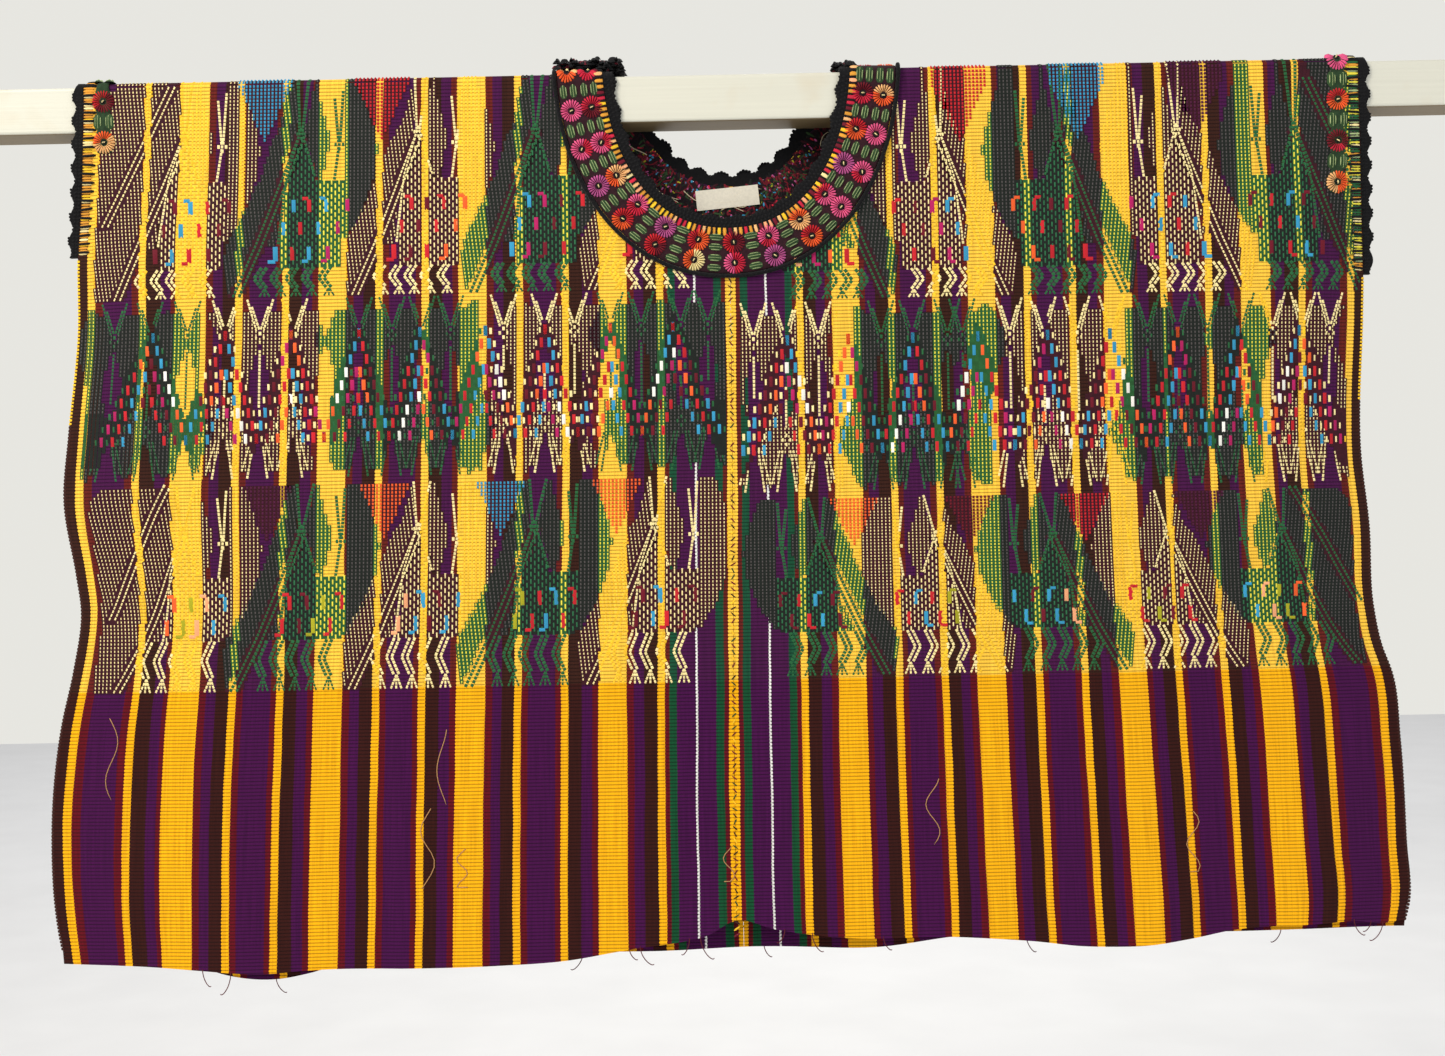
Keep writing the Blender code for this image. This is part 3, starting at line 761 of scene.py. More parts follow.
@dataclass
class Stitches:
    """Many small raised stitches on the cloth, held as whole arrays.

    Each has a place (x, run), a direction in the cloth counted from +X towards up, a length, width
    and height, a lift above the cloth's middle, and a tone of its yarn.
    """

    x: np.ndarray
    run: np.ndarray
    angle: np.ndarray
    length: np.ndarray
    width: np.ndarray
    height: np.ndarray
    lift: np.ndarray

    @classmethod
    def of(cls, x: np.ndarray, run: np.ndarray, angle: float | np.ndarray,
           length: float | np.ndarray, width: float | np.ndarray, height: float | np.ndarray,
           lift: float | np.ndarray) -> Stitches:
        """Bring all seven values to one flat shape."""
        parts = np.broadcast_arrays(x, run, angle, length, width, height, lift)
        return cls(*(np.array(part, float).ravel() for part in parts))

    @classmethod
    def joined(cls, rows: list[Stitches]) -> Stitches:
        """Put several sets one after the other."""
        names = ("x", "run", "angle", "length", "width", "height", "lift")
        return cls(*(np.concatenate([getattr(row, name) for row in rows]) for name in names))

    def __len__(self) -> int:
        """Number of stitches."""
        return len(self.x)


class Template(Enum):
    """Forms of one stitch: points as shares of half length, half width and height, and faces."""

    FLOAT = (((-1, -1, 0), (1, -1, 0), (1, 1, 0), (-1, 1, 0), (-0.55, 0, 1), (0.55, 0, 1)),
             ((0, 1, 5, 4), (2, 3, 4, 5), (1, 2, 5), (3, 0, 4)))
    PATCH = (((-1, -1, 1), (1, -1, 1), (1, 1, 1), (-1, 1, 1)), ((0, 1, 2, 3),))
    SATIN = (((-1, -0.5, 0), (-0.5, -1, 0), (0.5, -1, 0), (1, -0.5, 0), (1, 0.5, 0), (0.5, 1, 0),
              (-0.5, 1, 0), (-1, 0.5, 0), (-0.6, 0, 0.85), (0, 0, 1), (0.6, 0, 0.85)),
             ((0, 1, 8), (1, 2, 9, 8), (2, 10, 9), (2, 3, 10), (3, 4, 10), (4, 5, 10),
              (5, 6, 9, 10), (6, 8, 9), (6, 7, 8), (7, 0, 8)))
    PETAL = (((-1, -0.42, 0), (0.75, -1, 0), (1, -0.45, 0), (1, 0.45, 0), (0.75, 1, 0),
              (-1, 0.42, 0), (-0.85, 0, 0.6), (0, 0, 1), (0.85, 0, 0.7)),
             ((0, 7, 6), (0, 1, 7), (1, 8, 7), (1, 2, 8), (2, 3, 8), (3, 4, 8), (4, 7, 8),
              (4, 5, 7), (5, 6, 7), (5, 0, 6)))


SINK = 0.25 * MM


def sew(name: str, stitches: Stitches, yarn: Yarn, template: Template = Template.FLOAT,
        inward: bool = False, tones: tuple[float, float] = (0.84, 1.14)) -> bpy.types.Object:
    """Build one piece that holds all stitches of one yarn.

    Each stitch is the template, stretched to its size, turned by its angle in the cloth's plane
    and set on the cloth there, with its lower rim sunk a little. A UV cell for each stitch keeps
    its own tone when the piece is baked.

    Args:
        name: the piece's name.
        stitches: their places and sizes.
        yarn: the yarn.
        template: the form of one stitch.
        inward: True for stitches on the cloth's inner side, lifts counted inwards.
        tones: darkest and lightest tone of a stitch.
    Returns:
        The new object.
    """
    shape = np.array(template.value[0], float)
    along, side, rise = (shape[:, k][None, :] for k in range(3))
    count, size = len(stitches), len(shape)
    point, across, up, normal = FORM.base(stitches.x, stitches.run)
    normal = -normal if inward else normal
    direction = (across * np.cos(stitches.angle)[:, None] + up * np.sin(stitches.angle)[:, None])
    beside = np.cross(normal, direction)
    lift = stitches.lift[:, None] + rise * (stitches.height[:, None] + SINK) - SINK
    points = (point[:, None, :]
              + direction[:, None, :] * (along * stitches.length[:, None] / 2)[..., None]
              + beside[:, None, :] * (side * stitches.width[:, None] / 2)[..., None]
              + normal[:, None, :] * lift[..., None])
    first = np.arange(count)[:, None, None] * size
    faces = []
    for corners in (3, 4):
        rows = np.array([face for face in template.value[1] if len(face) == corners])
        if len(rows):
            faces += (first + rows).reshape(-1, corners).tolist()
    item = add_mesh(name, points, faces, YarnFinish(yarn).material())
    mesh = item.data
    draw = np.random.default_rng(SEED + count)
    tone = np.repeat(draw.uniform(*tones, count), size)
    mesh.attributes.new("tone", "FLOAT", "POINT").data.foreach_set("value", tone)
    cells = int(np.ceil(np.sqrt(count)))
    corner = np.stack((np.arange(count) % cells, np.arange(count) // cells), axis=-1)
    inside = 0.5 + 0.38 * np.stack((shape[:, 0], shape[:, 1]), axis=-1)
    spots = ((corner[:, None, :] + inside[None]) / cells).reshape(-1, 2)
    loops = np.empty(len(mesh.loops), int)
    mesh.loops.foreach_get("vertex_index", loops)
    mesh.uv_layers.new(name="OFBake").data.foreach_set("uv", spots[loops].ravel())
    return item


@dataclass(frozen=True)
class Weave:
    """Warp and weft of one panel: w counts from the seam to the selvedge on the loom's width."""

    side: Side
    width: float
    fair: Profile
    bulge_power: float = 7.0

    def guides(self, run: np.ndarray) -> tuple[np.ndarray, np.ndarray, np.ndarray]:
        """Seam, fair selvedge and the selvedge's bulge from it, at a run."""
        height = FORM.height_at(run)
        outer = FORM.edge(self.side, height)
        fair = self.fair(height)
        return FORM.inner_edge(height, np.asarray(run) > 0), fair, outer - fair

    def x_at(self, w: np.ndarray, run: np.ndarray) -> np.ndarray:
        """Place across the blouse of a warp thread at a run.

        The thread keeps its share of the way from the seam to a fair selvedge; the bulges of the
        real selvedge fade inwards with the share's seventh power.

        Args:
            w: distance from the seam on the loom, positive.
            run: length along the cloth from the fold.
        Returns:
            x in metres.
        """
        inner, fair, bulge = self.guides(run)
        share = np.asarray(w) / self.width
        return inner + (fair - inner) * share + bulge * np.clip(share, 0, 1.2)**self.bulge_power

    def share_at(self, x: np.ndarray, run: np.ndarray) -> np.ndarray:
        """Share of the way from the outer selvedge to the seam, by repeated substitution."""
        inner, fair, bulge = self.guides(run)
        share = (x - inner) / (fair - inner)
        for _ in range(8):
            share = (x - inner - bulge * np.clip(share, 0, 1.2)**self.bulge_power) / (fair - inner)
        return 1 - share

    def stripe_at(self, w: np.ndarray) -> np.ndarray:
        """True where the warp is gold, from the stripes' own widths.

        Args:
            w: distance from the seam on the loom.
        Returns:
            Whether each place lies on a gold stripe.
        """
        across = (1 - np.asarray(w) / self.width) * PANEL_STRIPES
        runs = OUTER_STRIPES + REPEATS * REPEAT_STRIPES + INNER_STRIPES
        edges = np.cumsum([width for width, _ in runs])
        gold = np.array([colour == GOLD for _, colour in runs])
        return gold[np.clip(np.searchsorted(edges, across), 0, len(runs) - 1)]


WEAVES = {Side.LEFT: Weave(Side.LEFT, 480 * MM, Profile(((20, -469), (-330, -485), (-640, -505)))),
          Side.RIGHT: Weave(Side.RIGHT, 470 * MM, Profile(((20, 461), (-330, 468), (-640, 491))))}


@dataclass(frozen=True)
class Panel:
    """One woven length, from the front hem over the batten to the back hem, as a closed shell."""

    side: Side
    columns: int = 104
    step: float = 8.5 * MM
    seam_gap: float = 0.15 * MM

    def rows(self, front: bool) -> np.ndarray:
        """Runs of the rows on one face, from the fold down, as lengths.

        Args:
            front: True for the front.
        Returns:
            Lengths up to 560 mm; the rest of the way goes to the hem in equal shares.
        """
        bend = FORM.flat_top + pi / 2 * FORM.bend * np.array((0, 0.25, 0.5, 0.75, 1.0))
        angles = np.radians(np.array((14, 20, 26, 32, 38, 44, 50, 56, 62, 67, 72, 77, 81, 85, 88,
                                      90)))
        radii = RING.radius(angles if front else -angles)
        neck = radii * np.sin(angles)
        neck = neck[neck > bend[-1] + 3 * MM]
        below = np.arange(neck[-1] + 4 * MM, 560 * MM, self.step)
        return np.concatenate((bend, neck, below))

    def grid(self) -> tuple[np.ndarray, np.ndarray]:
        """Places of the shell's grid, rows from the front hem to the back hem.

        Returns:
            x and run, by row and column; columns go from the seam or neck to the outer edge.
        """
        sign = self.side.value
        share = np.linspace(0, 1, self.columns)
        parts = []
        for face in Face:
            front = face is Face.FRONT
            runs = self.rows(front)
            last = runs[-1]
            tail = np.linspace(0, 1, 9)[1:]
            runs = np.concatenate((runs, np.full(len(tail), last)))
            towards = np.concatenate((np.zeros(len(runs) - len(tail)), tail))
            hem = FORM.front_hem if front else FORM.back_hem
            middle = FORM.run_at(hem(sign * 240 * MM))
            level = runs + (middle - last) * towards
            height = FORM.height_at(level)
            neck = RING.half_width_at(face.value * level)
            seam = FORM.inner_edge(height, np.full(len(level), front)) + sign * self.seam_gap
            inner = np.where(neck > 0, sign * np.maximum(neck, self.seam_gap), seam)
            edge = FORM.edge(self.side, height)
            x = inner[:, None] + (edge - inner)[:, None] * share
            run = runs[:, None] + (FORM.run_at(hem(x)) - last) * towards[:, None]
            parts.append((x, face.value * run))
        (front_x, front_run), (back_x, back_run) = parts
        top = np.linspace(FORM.flat_top, -FORM.flat_top, 7)[1:-1]
        top_inner = sign * RING.half_width_at(top)
        top_edge = FORM.edge(self.side, np.full(len(top), 20 * MM))
        top_x = top_inner[:, None] + (top_edge - top_inner)[:, None] * share
        top_run = np.broadcast_to(top[:, None], top_x.shape)
        return (np.concatenate((front_x[::-1], top_x, back_x)),
                np.concatenate((front_run[::-1], top_run, back_run)))

    def build(self, cloth: bpy.types.Material) -> bpy.types.Object:
        """Build the shell with its weave map and its bake map.

        The outer and the inner layer are two grids, half the cloth's thickness to either side of
        its middle, and four rims close them.

        Args:
            cloth: the woven cloth's material.
        Returns:
            The new object.
        """
        x, run = self.grid()
        rows, columns = x.shape
        layers = np.concatenate((FORM.lifted(x, run, np.full(x.shape, FORM.cloth / 2)),
                                 FORM.lifted(x, run, np.full(x.shape, -FORM.cloth / 2))))
        near = np.arange(rows * columns).reshape(rows, columns)
        far = near + rows * columns

        def patch(index: np.ndarray) -> np.ndarray:
            """Quads between neighbouring rows and columns of point numbers."""
            return np.stack((index[:-1, :-1], index[1:, :-1], index[1:, 1:], index[:-1, 1:]),
                            axis=-1).reshape(-1, 4)

        rims = (np.stack((near[:, 0], far[:, 0])), np.stack((far[:, -1], near[:, -1])),
                np.stack((far[0], near[0])), np.stack((near[-1], far[-1])))
        quads = np.concatenate((patch(near), patch(far)[:, ::-1], *(patch(rim) for rim in rims)))
        faces = outward(layers, quads)
        share = np.tile(WEAVES[self.side].share_at(x, run).ravel(), 2)
        length = np.tile(run.ravel(), 2)
        item = add_mesh(f"{self.side.name.lower()}_woven_panel", layers, faces, cloth,
                        50)
        mesh = item.data
        loops = np.empty(len(mesh.loops), int)
        mesh.loops.foreach_get("vertex_index", loops)
        weave = np.stack((share[loops], length[loops]), axis=-1)
        mesh.uv_layers.new(name="weave").data.foreach_set("uv", weave.ravel())
        flat = np.tile(np.stack((np.linspace(0, 1, columns)[None, :].repeat(rows, 0),
                                 (run - run.min()) / (run.max() - run.min())),
                                axis=-1).reshape(-1, 2), (2, 1))[loops]
        outer_loops = 4 * len(patch(near))
        spans = np.full(len(loops), 2)
        spans[:outer_loops] = 0
        spans[outer_loops:2 * outer_loops] = 1
        start = np.array((0.004, 0.704, 0.69))[spans]
        wide = np.array((0.68, 0.292, 0.006))[spans]
        bake = np.stack((start + wide * flat[:, 0], 0.004 + 0.992 * flat[:, 1]), axis=-1)
        mesh.uv_layers.new(name="OFBake").data.foreach_set("uv", bake.ravel())
        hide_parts(f"{self.side.name.lower()}_panel")
        return item


@dataclass(frozen=True)
class Tier:
    """One tier of brocade on a panel: the runs of its top and bottom, and its rows."""

    top: float
    bottom: float
    rows: int

    def run(self, row: np.ndarray) -> np.ndarray:
        """Run of a row, counted from the tier's top."""
        return self.top + (self.bottom - self.top) * row / self.rows


WEFT_GROUNDS = (Yarn.WEFT_GREEN, Yarn.WEFT_MAROON, Yarn.BRIGHT_WEFT)
COLUMN = 2.787 * MM
ROWS = 57
TALL_ROWS = 59
TALL_PITCH = 2.62 * MM
PAST_FOLD = 12 * MM
ACCENT_GAP = 16.3
WIDE_ACCENT_GAP = 21.0
ON_CLOTH = FORM.cloth / 2


@dataclass
class Chart:
    """Weft floats of a tier, by column and row, kept for each yarn."""

    columns: list[np.ndarray]
    rows: list[np.ndarray]
    sizes: list[np.ndarray]
    yarns: list[np.ndarray]

    @classmethod
    def empty(cls) -> Chart:
        """A chart with nothing in it."""
        return cls([], [], [], [])

    def add(self, column: np.ndarray, row: np.ndarray, width: float, tall: float, yarn: Yarn,
            lean: float | np.ndarray = 0.0) -> None:
        """Put floats in the chart.

        Args:
            column: columns of their middles, from the seam outwards.
            row: rows of their middles.
            width: width of each in columns.
            tall: length of each in rows.
            yarn: the yarn.
            lean: columns that each leans over its length.
        """
        column, row, lean = np.broadcast_arrays(np.asarray(column, float),
                                                np.asarray(row, float), lean)
        self.columns.append(column.ravel())
        self.rows.append(row.ravel())
        size = np.stack((np.full(column.size, width), np.full(column.size, tall), lean.ravel()))
        self.sizes.append(size)
        self.yarns.append(np.full(column.size, list(Yarn).index(yarn)))

    def line(self, start: tuple[float, float], end: tuple[float, float], yarn: Yarn,
             centre: float, width: float = 0.8) -> None:
        """Chain of beads along a slanting line, one for each row.

        Args:
            start: row and column where it starts.
            end: row and column where it ends.
            yarn: the yarn.
            centre: the figure's column.
            width: width in columns.
        """
        count = max(int(round(abs(end[0] - start[0]))), 2)
        share = (np.arange(count) + 0.5) / count
        row = start[0] + (end[0] - start[0]) * share
        column = start[1] + (end[1] - start[1]) * share
        lean = (end[1] - start[1]) / count
        self.add(centre - column, row, width, abs(end[0] - start[0]) / count * 0.9, yarn, -lean)


class Brocade:
    """The brocaded tiers of both panels on the front and the back.

    Columns are counted from the seam outwards, rows from a tier's top. Figure outlines are short
    tables of (row, column), with columns from the figure's middle, negative towards the selvedge.
    """

    OUTER_WING = ((0, -6.5), (2, -7), (10.8, -9.5), (15.7, -12.5), (25, -16), (33.7, -20),
                  (42, -24.2), (47, -25.5), (57, -24))
    INNER_WING = ((1, 10.7), (9, 13.5), (17.5, 15.2), (26.5, 14), (35.5, 10.7), (44, 5.6))
    BODY_LEFT = ((0, -6.4), (13, -5.3), (25, -9), (43, -11))
    DIAGONAL = ((14, -5), (43, -16), (57, -22))
    LEAF_EDGE = ((0, -0.5), (5, 0), (15, 2.8), (26, 0.4))
    RIGHT_ARM = ((0, -2), (13, -5.0), (25, -1.4))
    FEET = (-15.2, -11, -7, -2.8, 1.7)
    # Dashes: first and last row, columns, and 1 or -1 for a hook at the top or the bottom
    DASH_ROWS = ((30.7, 35.3, (-8.2, -3.7, 0.6, 5.4), 1),
                 (36.9, 41.7, (-10.1, -5.6, -2.0, 2.5), -1))
    TALL_DASH_ROWS = ((30.8, 34.7, (-7, -2.9, 1.6, 7.2), 1),
                      (36.8, 40.8, (-9.6, -5.2, -0.4, 4.7), 0),
                      (43.4, 47.6, (-11.7, -7.3, -2.9, 2.1), -1))
    # Width and height in cells of a wing's dot, a body's brick and an accent's dot
    DOT = (0.6, 0.74)
    BRICK = (0.7, 1.65)
    ACCENT_DOT = (0.74, 0.84)
    GREEN_WIDER = 0.08
    GREEN_TALLER = 0.06
    OVER_GOLD = {Yarn.CREAM: Yarn.YELLOW, Yarn.DEEP_GREEN: Yarn.LEMON,
                 Yarn.BODY_GREEN: Yarn.LEMON, Yarn.WEFT_GREEN: Yarn.BRIGHT_WEFT}
    GREENS = (Yarn.GREEN, Yarn.DEEP_GREEN, Yarn.BODY_GREEN)
    DASH_YARNS = (Yarn.RED, Yarn.MAROON, Yarn.ORANGE, Yarn.BLUE, Yarn.OLIVE, Yarn.MAGENTA,
                  Yarn.RED, Yarn.PEACH, Yarn.MAROON, Yarn.BLUE, Yarn.RED)
    FLAT_YARNS = (Yarn.CREAM, Yarn.YELLOW, Yarn.LEMON, *GREENS)

    def __init__(self, side: Side) -> None:
        """Keep the panel's side and its weave."""
        self.side = side
        self.weave = WEAVES[side]
        self.draw = np.random.default_rng(SEED + 5 + side.value)

    def cells(self, chart: Chart, row: np.ndarray, column: np.ndarray, inside: np.ndarray,
              yarn: Yarn, centre: float, brick: bool = False) -> None:
        """Put one dot in each cell of a region, or in a body one tall dot in every second.

        A flat run of weft lies under every cell, and shows as the dark ground between the dots.

        Args:
            chart: the chart to fill.
            row: rows of the grid's cells.
            column: columns of the cells from the figure's middle.
            inside: which cells belong to the region.
            yarn: the yarn.
            centre: the figure's column.
            brick: True for dots two rows tall, staggered from column to column.
        """
        keep = inside
        if brick:
            keep = inside & ((np.floor(row) + np.round(column)) % 2 == 0)
        wide, tall = self.BRICK if brick else self.DOT
        green = yarn in self.GREENS
        chart.add(centre - column[keep], row[keep], wide + self.GREEN_WIDER * green,
                  tall + self.GREEN_TALLER * green, yarn)
        self.ground(chart, row, column, inside, yarn, centre)

    def ground(self, chart: Chart, row: np.ndarray, column: np.ndarray, inside: np.ndarray,
               yarn: Yarn, centre: float) -> None:
        """Cover cells with flat weft, dark green or maroon as the figure is green or not."""
        green = yarn in self.GREENS
        chart.add(centre - column[inside], row[inside], 1.0, 1.0,
                  Yarn.WEFT_GREEN if green else Yarn.WEFT_MAROON)

    def bird(self, chart: Chart, centre: float, yarn: Yarn, tall: bool, last: bool, index: int,
             top: float) -> None:
        """One two-headed bird: wings of dots, a brick body, V crests, legs and colour dashes.

        Args:
            chart: the chart to fill.
            centre: the figure's middle, in columns from the seam.
            yarn: cream or green.
            tall: True in the first tier, whose figures are two rows longer.
            last: True for the outermost figure, whose wing goes on to the selvedge.
            index: number of the figure, for its dash colours.
            top: first row, below zero where the figure starts beyond the fold.
        """
        stretch = TALL_ROWS / ROWS if tall else 1.0
        dots, bricks = (Yarn.DEEP_GREEN, Yarn.BODY_GREEN) if yarn is Yarn.GREEN else (yarn, yarn)
        bold = 1.15 if yarn is Yarn.GREEN else 0.85
        rows = np.arange(np.ceil(top), ROWS * stretch - 0.5) + 0.5
        row, column = np.meshgrid(rows, np.arange(-40, 20), indexing="ij")
        column = column.astype(float)
        level = row / stretch

        def curve(points: tuple) -> np.ndarray:
            """Read an outline at every cell's row."""
            table = np.array(points)
            return np.interp(level, table[:, 0], table[:, 1])

        body_left, right_arm = curve(self.BODY_LEFT), curve(self.RIGHT_ARM)
        diagonal, outer = curve(self.DIAGONAL), curve(self.OUTER_WING)
        if yarn is Yarn.GREEN:
            outer = outer - 2.5 * np.clip(1 - level / 20, 0, 1)
        leaned = column + 0.12 * (level - 28)
        wing_inner = np.where(level < 43, body_left - 0.6, diagonal - 0.2)
        flank = -28.5 if self.side is Side.LEFT else -24.5
        reach = np.where(last, flank + 5 * np.clip(1 - level / 4, 0, 1), outer)
        wing = (leaned > reach) & (leaned < wing_inner)
        covered = wing.copy()
        wing &= (np.abs(leaned - diagonal) > 1.9) | (level < 14)
        if last:
            second = -8.7 - 0.457 * level
            wing &= (np.abs(leaned - second) > 1.9) | (level > 38)
        self.cells(chart, row, leaned, wing, dots, centre)
        covered |= (np.abs(leaned - diagonal) < 1.9) & (level >= 14)
        self.ground(chart, row, leaned, covered & ~wing, Yarn.CREAM, centre)
        inner = (column > 6.2) & (column < curve(self.INNER_WING)) & (level < 44)
        self.cells(chart, row, column, inner, dots, centre)
        leaf = (column > right_arm + 0.5) & (column < curve(self.LEAF_EDGE)) & (level < 26)
        self.cells(chart, row, column, leaf, dots, centre)
        inside_a = (column > body_left + 0.4) & (column < right_arm) & (level > 14) & (level < 26)
        waist = 49 if tall else 43
        body = (column > body_left + 0.4) & (column <= 6.4) & (level >= 26) & (level < waist)
        narrow = np.interp(level, (26, 35, 43), (6.5, 8.5, 5.5))
        self.cells(chart, row, column, inside_a | (body & (column < narrow)), bricks, centre, True)
        strokes = (((top, -6.5), (13, -5.6)), ((top, -2), (13, -4.8)), ((13, -5.4), (25, -9)),
                   ((25, -9), (43, -11)), ((13, -5.0), (25, -1.4)), ((4, 3.7), (16, 4.8)),
                   ((2, 6), (16, 5.2)), ((16, 5), (26, 3.7)))
        for start, end in strokes:
            chart.line((start[0] * stretch, start[1]), (end[0] * stretch, end[1]), yarn, centre,
                       bold)
        for offset in (-0.8, 0.8):
            for start, end in (((14, -5), (43, -16)), ((43, -16), (57, -22))):
                chart.line((start[0] * stretch, start[1] + offset),
                           (end[0] * stretch, end[1] + offset), yarn, centre, bold)
            if last:
                chart.line((0, -8.7 + offset), (37 * stretch, -25.6 + offset), yarn, centre, bold)
        self.knots(chart, centre, yarn, ((13.5 * stretch, -5.2), (16.5 * stretch, 5.0)))
        for foot in self.FEET:
            self.leg(chart, centre, foot, yarn, waist * stretch, ROWS * stretch)
        self.dashes(chart, centre, tall, index, stretch)

    def leg(self, chart: Chart, centre: float, foot: float, yarn: Yarn, top: float,
            bottom: float) -> None:
        """One zigzag leg of two lines that ends in three toes."""
        knee = top + (bottom - top) * 0.38
        ankle = top + (bottom - top) * 0.72
        bold = 1.25 if yarn is Yarn.GREEN else 0.95
        for offset in (0, 1.35):
            chart.line((top, foot + offset), (knee, foot - 2 + offset), yarn, centre, bold)
            chart.line((knee, foot - 2 + offset), (ankle, foot + offset), yarn, centre, bold)
        for toe in (-0.7, 0.7, 2.1):
            chart.line((ankle, foot + 0.7), (bottom, foot + toe), yarn, centre, 0.7)

    def knots(self, chart: Chart, centre: float, yarn: Yarn, places: tuple) -> None:
        """Small rings of four round dots, where a crest's arms meet."""
        for row, column in places:
            for drow, dcolumn in ((-1.2, 0), (1.2, 0), (0, -1), (0, 1)):
                chart.add(np.array((centre - column - dcolumn,)), np.array((row + drow,)), 0.95,
                          1.15, yarn)

    def dashes(self, chart: Chart, centre: float, tall: bool, index: int, stretch: float) -> None:
        """Rows of short upright dashes in bright yarns, each with a hooked end."""
        for level, (start, end, columns, hook) in enumerate(self.TALL_DASH_ROWS if tall
                                                            else self.DASH_ROWS):
            for place, column in enumerate(columns):
                yarn = self.DASH_YARNS[(3 * index + 2 * place + place // 2) % len(self.DASH_YARNS)]
                at, middle = np.array((centre - column,)), np.array(((start + end) / 2 * stretch,))
                chart.add(at, middle, 1.55, (end - start) * stretch, yarn)
                if hook and (index + place + level) % 3:
                    tip = start if hook > 0 else end
                    chart.add(at + 1.0, np.array((tip * stretch,)), 2.4, 1.1, yarn)

    def accent(self, chart: Chart, middle: float, yarn: Yarn, top: float) -> None:
        """Dotted triangle that hangs from the tier's top between two figures."""
        rows = np.arange(np.ceil(top), 16) + 0.5
        row, column = np.meshgrid(rows, np.arange(-8.0, 9.0), indexing="ij")
        inside = np.abs(column) < 7 * (1 - np.clip(row, 0.5, 15.6) / 15.6) + 0.3
        chart.add(middle - column[inside], row[inside], *self.ACCENT_DOT, yarn)
        self.ground(chart, row, column, inside, yarn, middle)

    def crests(self, chart: Chart, tier: Tier, places: tuple, blocks: tuple, peaks: tuple) -> None:
        """The middle tier: rows of V crests in blocks of cream and green, under a colour zigzag.

        Args:
            chart: the chart to fill.
            tier: the tier.
            places: columns of the crests from the seam.
            blocks: for each block its first and last column from the seam and its yarn.
            peaks: columns of the zigzag's peaks.
        """
        row, column = np.meshgrid(np.arange(1.0, tier.rows - 1) + 0.5,
                                  np.arange(1.0, self.weave.width / COLUMN - 1), indexing="ij")
        spots = np.array(places)
        nearest = spots[np.abs(column[..., None] - spots).argmin(axis=-1)]
        away = np.abs(column - nearest)
        fan = away < 3.6 * (1 - row / 11.5)
        lens = away < 2.3 * np.sin(pi * np.clip((row - 13) / 21, 0, 1))
        tent = away < 2.8 * (row - 38.5) / 11.5
        ragged = row > 1 + 3.5 * np.abs(np.sin(pi * (column - nearest) / 6.2))
        ragged &= row < tier.rows - 1 - 2.5 * np.abs(np.sin(pi * (column - nearest) / 5.1))
        zigzag = self.zigzag_distance(row, column, peaks)
        dotted = ~(fan | lens | tent) & ragged & (np.abs(zigzag) > 3.6)
        ground = ~(fan | lens | tent) & ragged & (np.abs(zigzag) <= 3.6)
        for first, last, yarn in blocks:
            sway = 4.2 * np.exp(-((row - 12) / 7)**2), 4.2 * np.exp(-((row - 36) / 7)**2)
            spread = 1 if yarn is Yarn.GREEN else -1
            inside = (column > first - spread * sway[1]) & (column < last + spread * sway[0])
            dots = Yarn.DEEP_GREEN if yarn is Yarn.GREEN else yarn
            self.cells(chart, row, -column, dotted & inside, dots, 0.0)
            self.ground(chart, row, -column, ground & inside, yarn, 0.0)
            for spot in spots[(spots > first) & (spots < last)]:
                self.crest(chart, spot, yarn, tier.rows, peaks)
        self.zigzag(chart, peaks, blocks)

    def crest(self, chart: Chart, spot: float, yarn: Yarn, rows: int, peaks: tuple) -> None:
        """One V crest, the upright line below it, a knot and the spread feet."""
        strokes = (((0.5, -3.4), (9.5, -0.9)), ((0.5, 3.4), (9.5, 0.9)), ((2.5, -2.2), (9, -0.2)),
                   ((2.5, 2.2), (9, 0.2)), ((14.5, 0), (33.5, 0)), ((39, -1), (rows - 1, -2.6)),
                   ((39, 1), (rows - 1, 2.6)), ((39, -1.8), (rows - 3, -4.0)),
                   ((39, 1.8), (rows - 3, 4.0)))
        for start, end in strokes:
            count = max(int(round(end[0] - start[0])), 2)
            share = (np.arange(count) + 0.5) / count
            row = start[0] + (end[0] - start[0]) * share
            column = spot + start[1] + (end[1] - start[1]) * share
            keep = np.abs(self.zigzag_distance(row, column, peaks)) > 3.6
            chart.add(column[keep], row[keep], 0.8, (end[0] - start[0]) / count * 0.9, yarn,
                      (end[1] - start[1]) / count)
        for row in (11.2, 36.4):
            keep = abs(float(self.zigzag_distance(np.array(row), np.array(spot), peaks))) > 3.0
            if keep:
                self.knots(chart, spot, yarn, ((row, 0.0),))

    ZIGZAG_TOP = 10.5
    ZIGZAG_STEP = 3.55
    ZIGZAG_STEPS = 9

    def zigzag_distance(self, row: np.ndarray, column: np.ndarray, peaks: tuple) -> np.ndarray:
        """Columns from a place to the zigzag's middle line, large above and below the zigzag."""
        tops = np.array(sorted(peaks))
        valleys = (tops[1:] + tops[:-1]) / 2
        knots = np.sort(np.concatenate((tops, valleys, (tops[0] - 12, tops[-1] + 12))))
        depth = np.where(np.isin(knots, tops), self.ZIGZAG_TOP + 3,
                         self.ZIGZAG_TOP + self.ZIGZAG_STEP * (self.ZIGZAG_STEPS - 1))
        line = np.interp(column, knots, depth)
        slope = self.ZIGZAG_STEP * (self.ZIGZAG_STEPS - 2) / 12
        return (row - line) / slope

